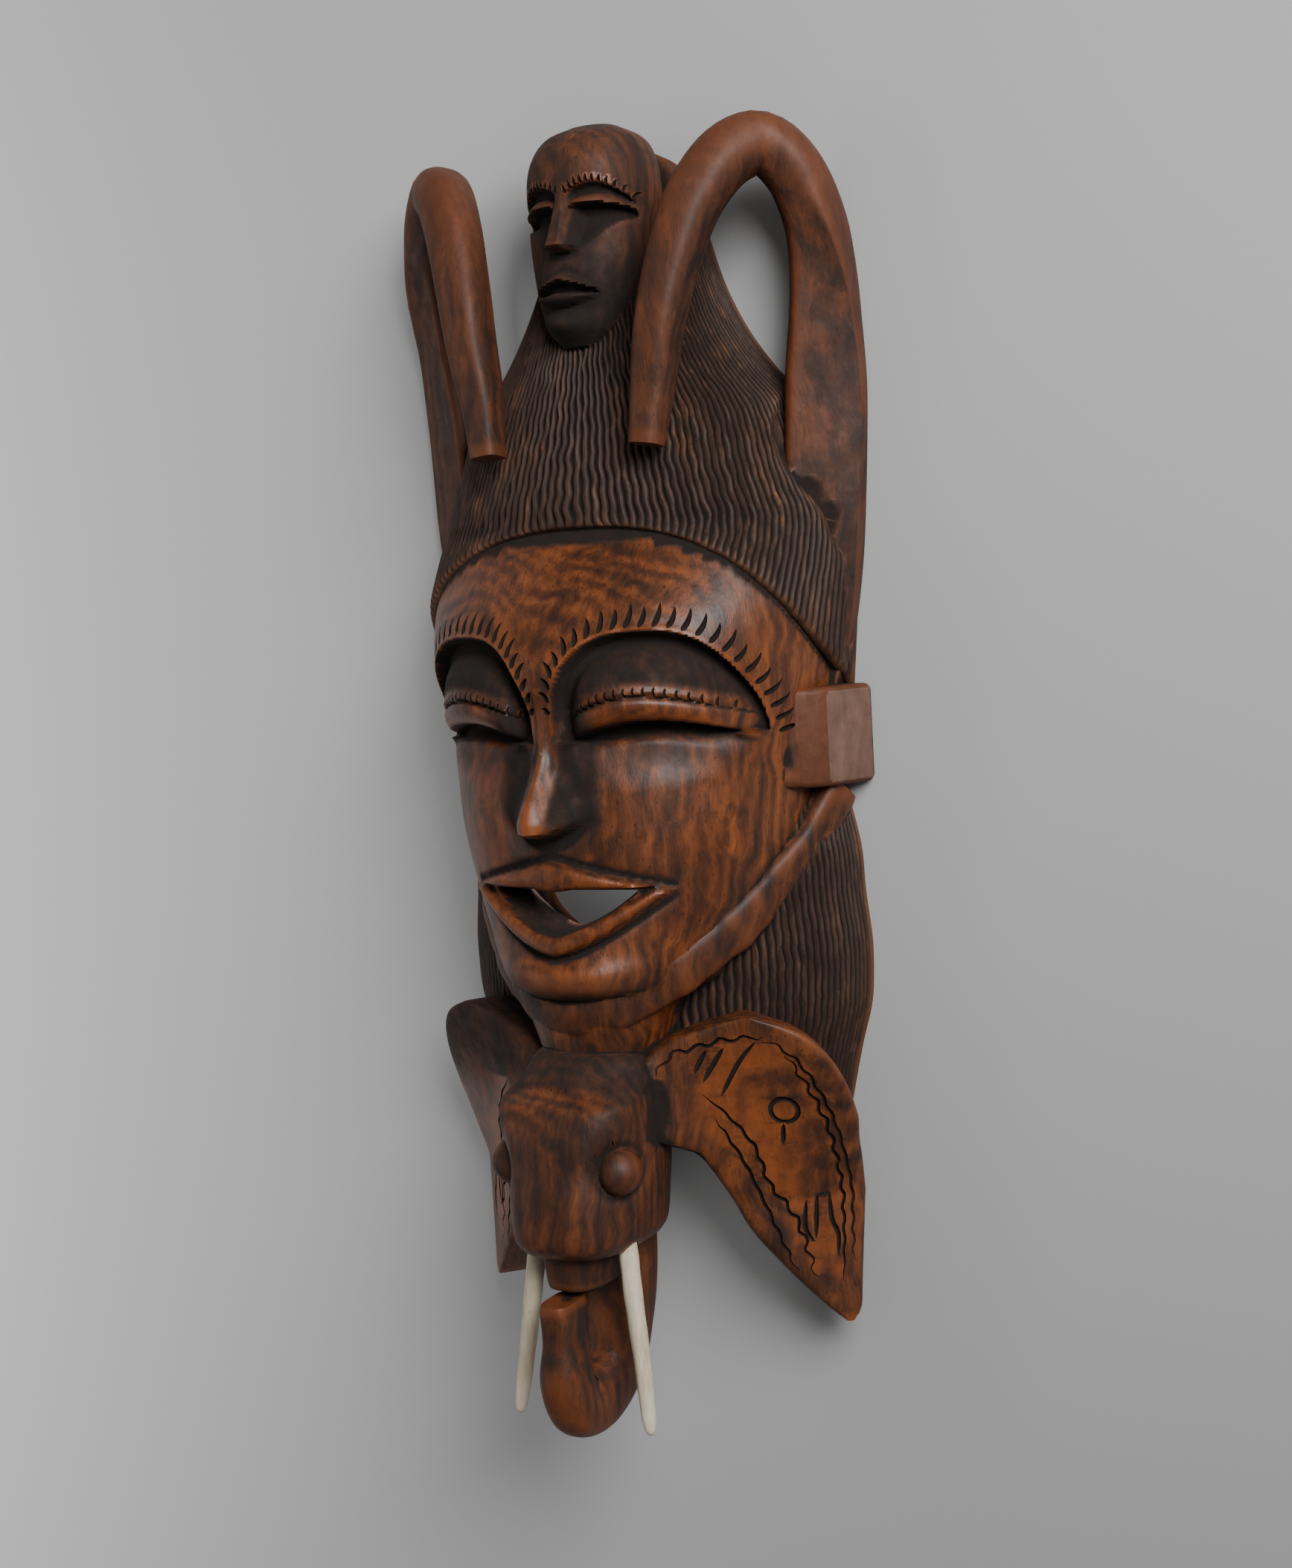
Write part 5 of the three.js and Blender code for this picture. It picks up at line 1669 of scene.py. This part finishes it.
class MASK_OT_bone_tusks(bpy.types.Operator):
    """Scrape the two bone tusks"""

    bl_idname = "mask.bone_tusks"
    bl_label = "Bone tusks"

    def execute(self, context):
        bone = bone_finish("cream_bone", context.scene.mask_colours)
        for side, node in zip(SIDES, ("tusk_left", "tusk_right")):
            shaped = tusk(side)
            mesh = shaped.data
            bpy.data.objects.remove(shaped)
            mesh.materials.clear()
            mesh.materials.append(bone)
            mesh.polygons.foreach_set("material_index", [0] * len(mesh.polygons))
            made = finished(mesh, f"bone_{node}")
            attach(made, "root")
            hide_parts(node)
        return {"FINISHED"}


CAMERA_PLACE = (0.5231, 0.0956, 0.9181)
CAMERA_RIGHT = (0.8660, -0.0566, -0.4968)
CAMERA_UP = (0, 0.99357, -0.11320)


def softbox(name, place, aim, size, power, spread=180):
    """A rectangular light. Its spread is in degrees."""
    lamp = bpy.data.lights.new(name, "AREA")
    lamp.shape = "RECTANGLE"
    lamp.size, lamp.size_y = size
    lamp.energy = power
    lamp.spread = math.radians(spread)
    holder = link(name, lamp)
    holder.location = place
    holder.rotation_mode = "QUATERNION"
    holder.rotation_quaternion = (Vector(aim) - Vector(place)).to_track_quat("-Z", "Y")


def room(strength):
    """The even light of a pale room."""
    world = bpy.data.worlds.new("room")
    world.use_nodes = True
    sky = world.node_tree.nodes["Background"]
    sky.inputs["Color"].default_value = (1, 1, 1, 1)
    sky.inputs["Strength"].default_value = strength
    return world


def camera(focal_length):
    """A camera that looks at the lying mask as the photograph does at the hanging one."""
    lens = bpy.data.cameras.new("camera")
    lens.sensor_width = 36
    lens.lens = focal_length
    lens.clip_start = 0.05
    holder = link("camera", lens)
    right = Vector(CAMERA_RIGHT).normalized()
    back = right.cross(Vector(CAMERA_UP)).normalized()
    turned = Matrix((right, back.cross(right), back)).transposed()
    holder.rotation_mode = "QUATERNION"
    holder.rotation_quaternion = turned.to_quaternion()
    holder.location = CAMERA_PLACE
    return holder


class MASK_OT_studio(bpy.types.Operator):
    """Set up the floor, the soft lights and the camera"""

    bl_idname = "mask.studio"
    bl_label = "Studio"

    def execute(self, context):
        stage, colours = context.scene.mask_stage, context.scene.mask_colours
        bm = bmesh.new()
        bmesh.ops.create_grid(bm, x_segments=1, y_segments=1, size=4)
        mesh = bpy.data.meshes.new("floor")
        bm.to_mesh(mesh)
        bm.free()
        mesh.materials.append(plain_finish("pale_floor", colours.floor, 0.9))
        link("floor", mesh)

        context.scene.world = room(stage.sky_strength)
        softbox("key_light", (1.0, 0.75, 0.95), (-0.04, 0, 0.06), (0.8, 0.8), stage.key_power, 110)
        softbox("side_light", (-0.95, 0, 0.8), (-0.9, 0, 0), (1.6, 0.3), stage.side_power, 110)
        softbox("hollow_light", (0, 0.02, 0.05), (0, -0.05, 0), (0.07, 0.05), stage.hollow_power)
        context.scene.camera = camera(stage.focal_length)
        return {"FINISHED"}


class MASK_PT_parts(bpy.types.Panel):
    """The mask's parts"""

    bl_idname = "MASK_PT_parts"
    bl_label = "Carved wall mask"
    bl_space_type = "VIEW_3D"
    bl_region_type = "UI"
    bl_category = "Mask"

    def draw(self, context):
        for operator in (MASK_OT_carved_mask, MASK_OT_bone_tusks, MASK_OT_studio):
            self.layout.operator(operator.bl_idname)
        for group in (context.scene.mask_sizes, context.scene.mask_colours,
                      context.scene.mask_stage):
            for name in group.__annotations__:
                self.layout.prop(group, name)


CLASSES = (MaskSizes, MaskColours, MaskStage, MASK_OT_carved_mask, MASK_OT_bone_tusks,
           MASK_OT_studio, MASK_PT_parts)


def register():
    for cls in CLASSES:
        bpy.utils.register_class(cls)
    bpy.types.Scene.mask_sizes = PointerProperty(type=MaskSizes)
    bpy.types.Scene.mask_colours = PointerProperty(type=MaskColours)
    bpy.types.Scene.mask_stage = PointerProperty(type=MaskStage)


def unregister():
    del bpy.types.Scene.mask_stage
    del bpy.types.Scene.mask_colours
    del bpy.types.Scene.mask_sizes
    for cls in reversed(CLASSES):
        bpy.utils.unregister_class(cls)


def main():
    register()
    bpy.ops.mask.studio()
    bpy.ops.mask.carved_mask()
    bpy.ops.mask.bone_tusks()


if __name__ == "__main__":
    main()
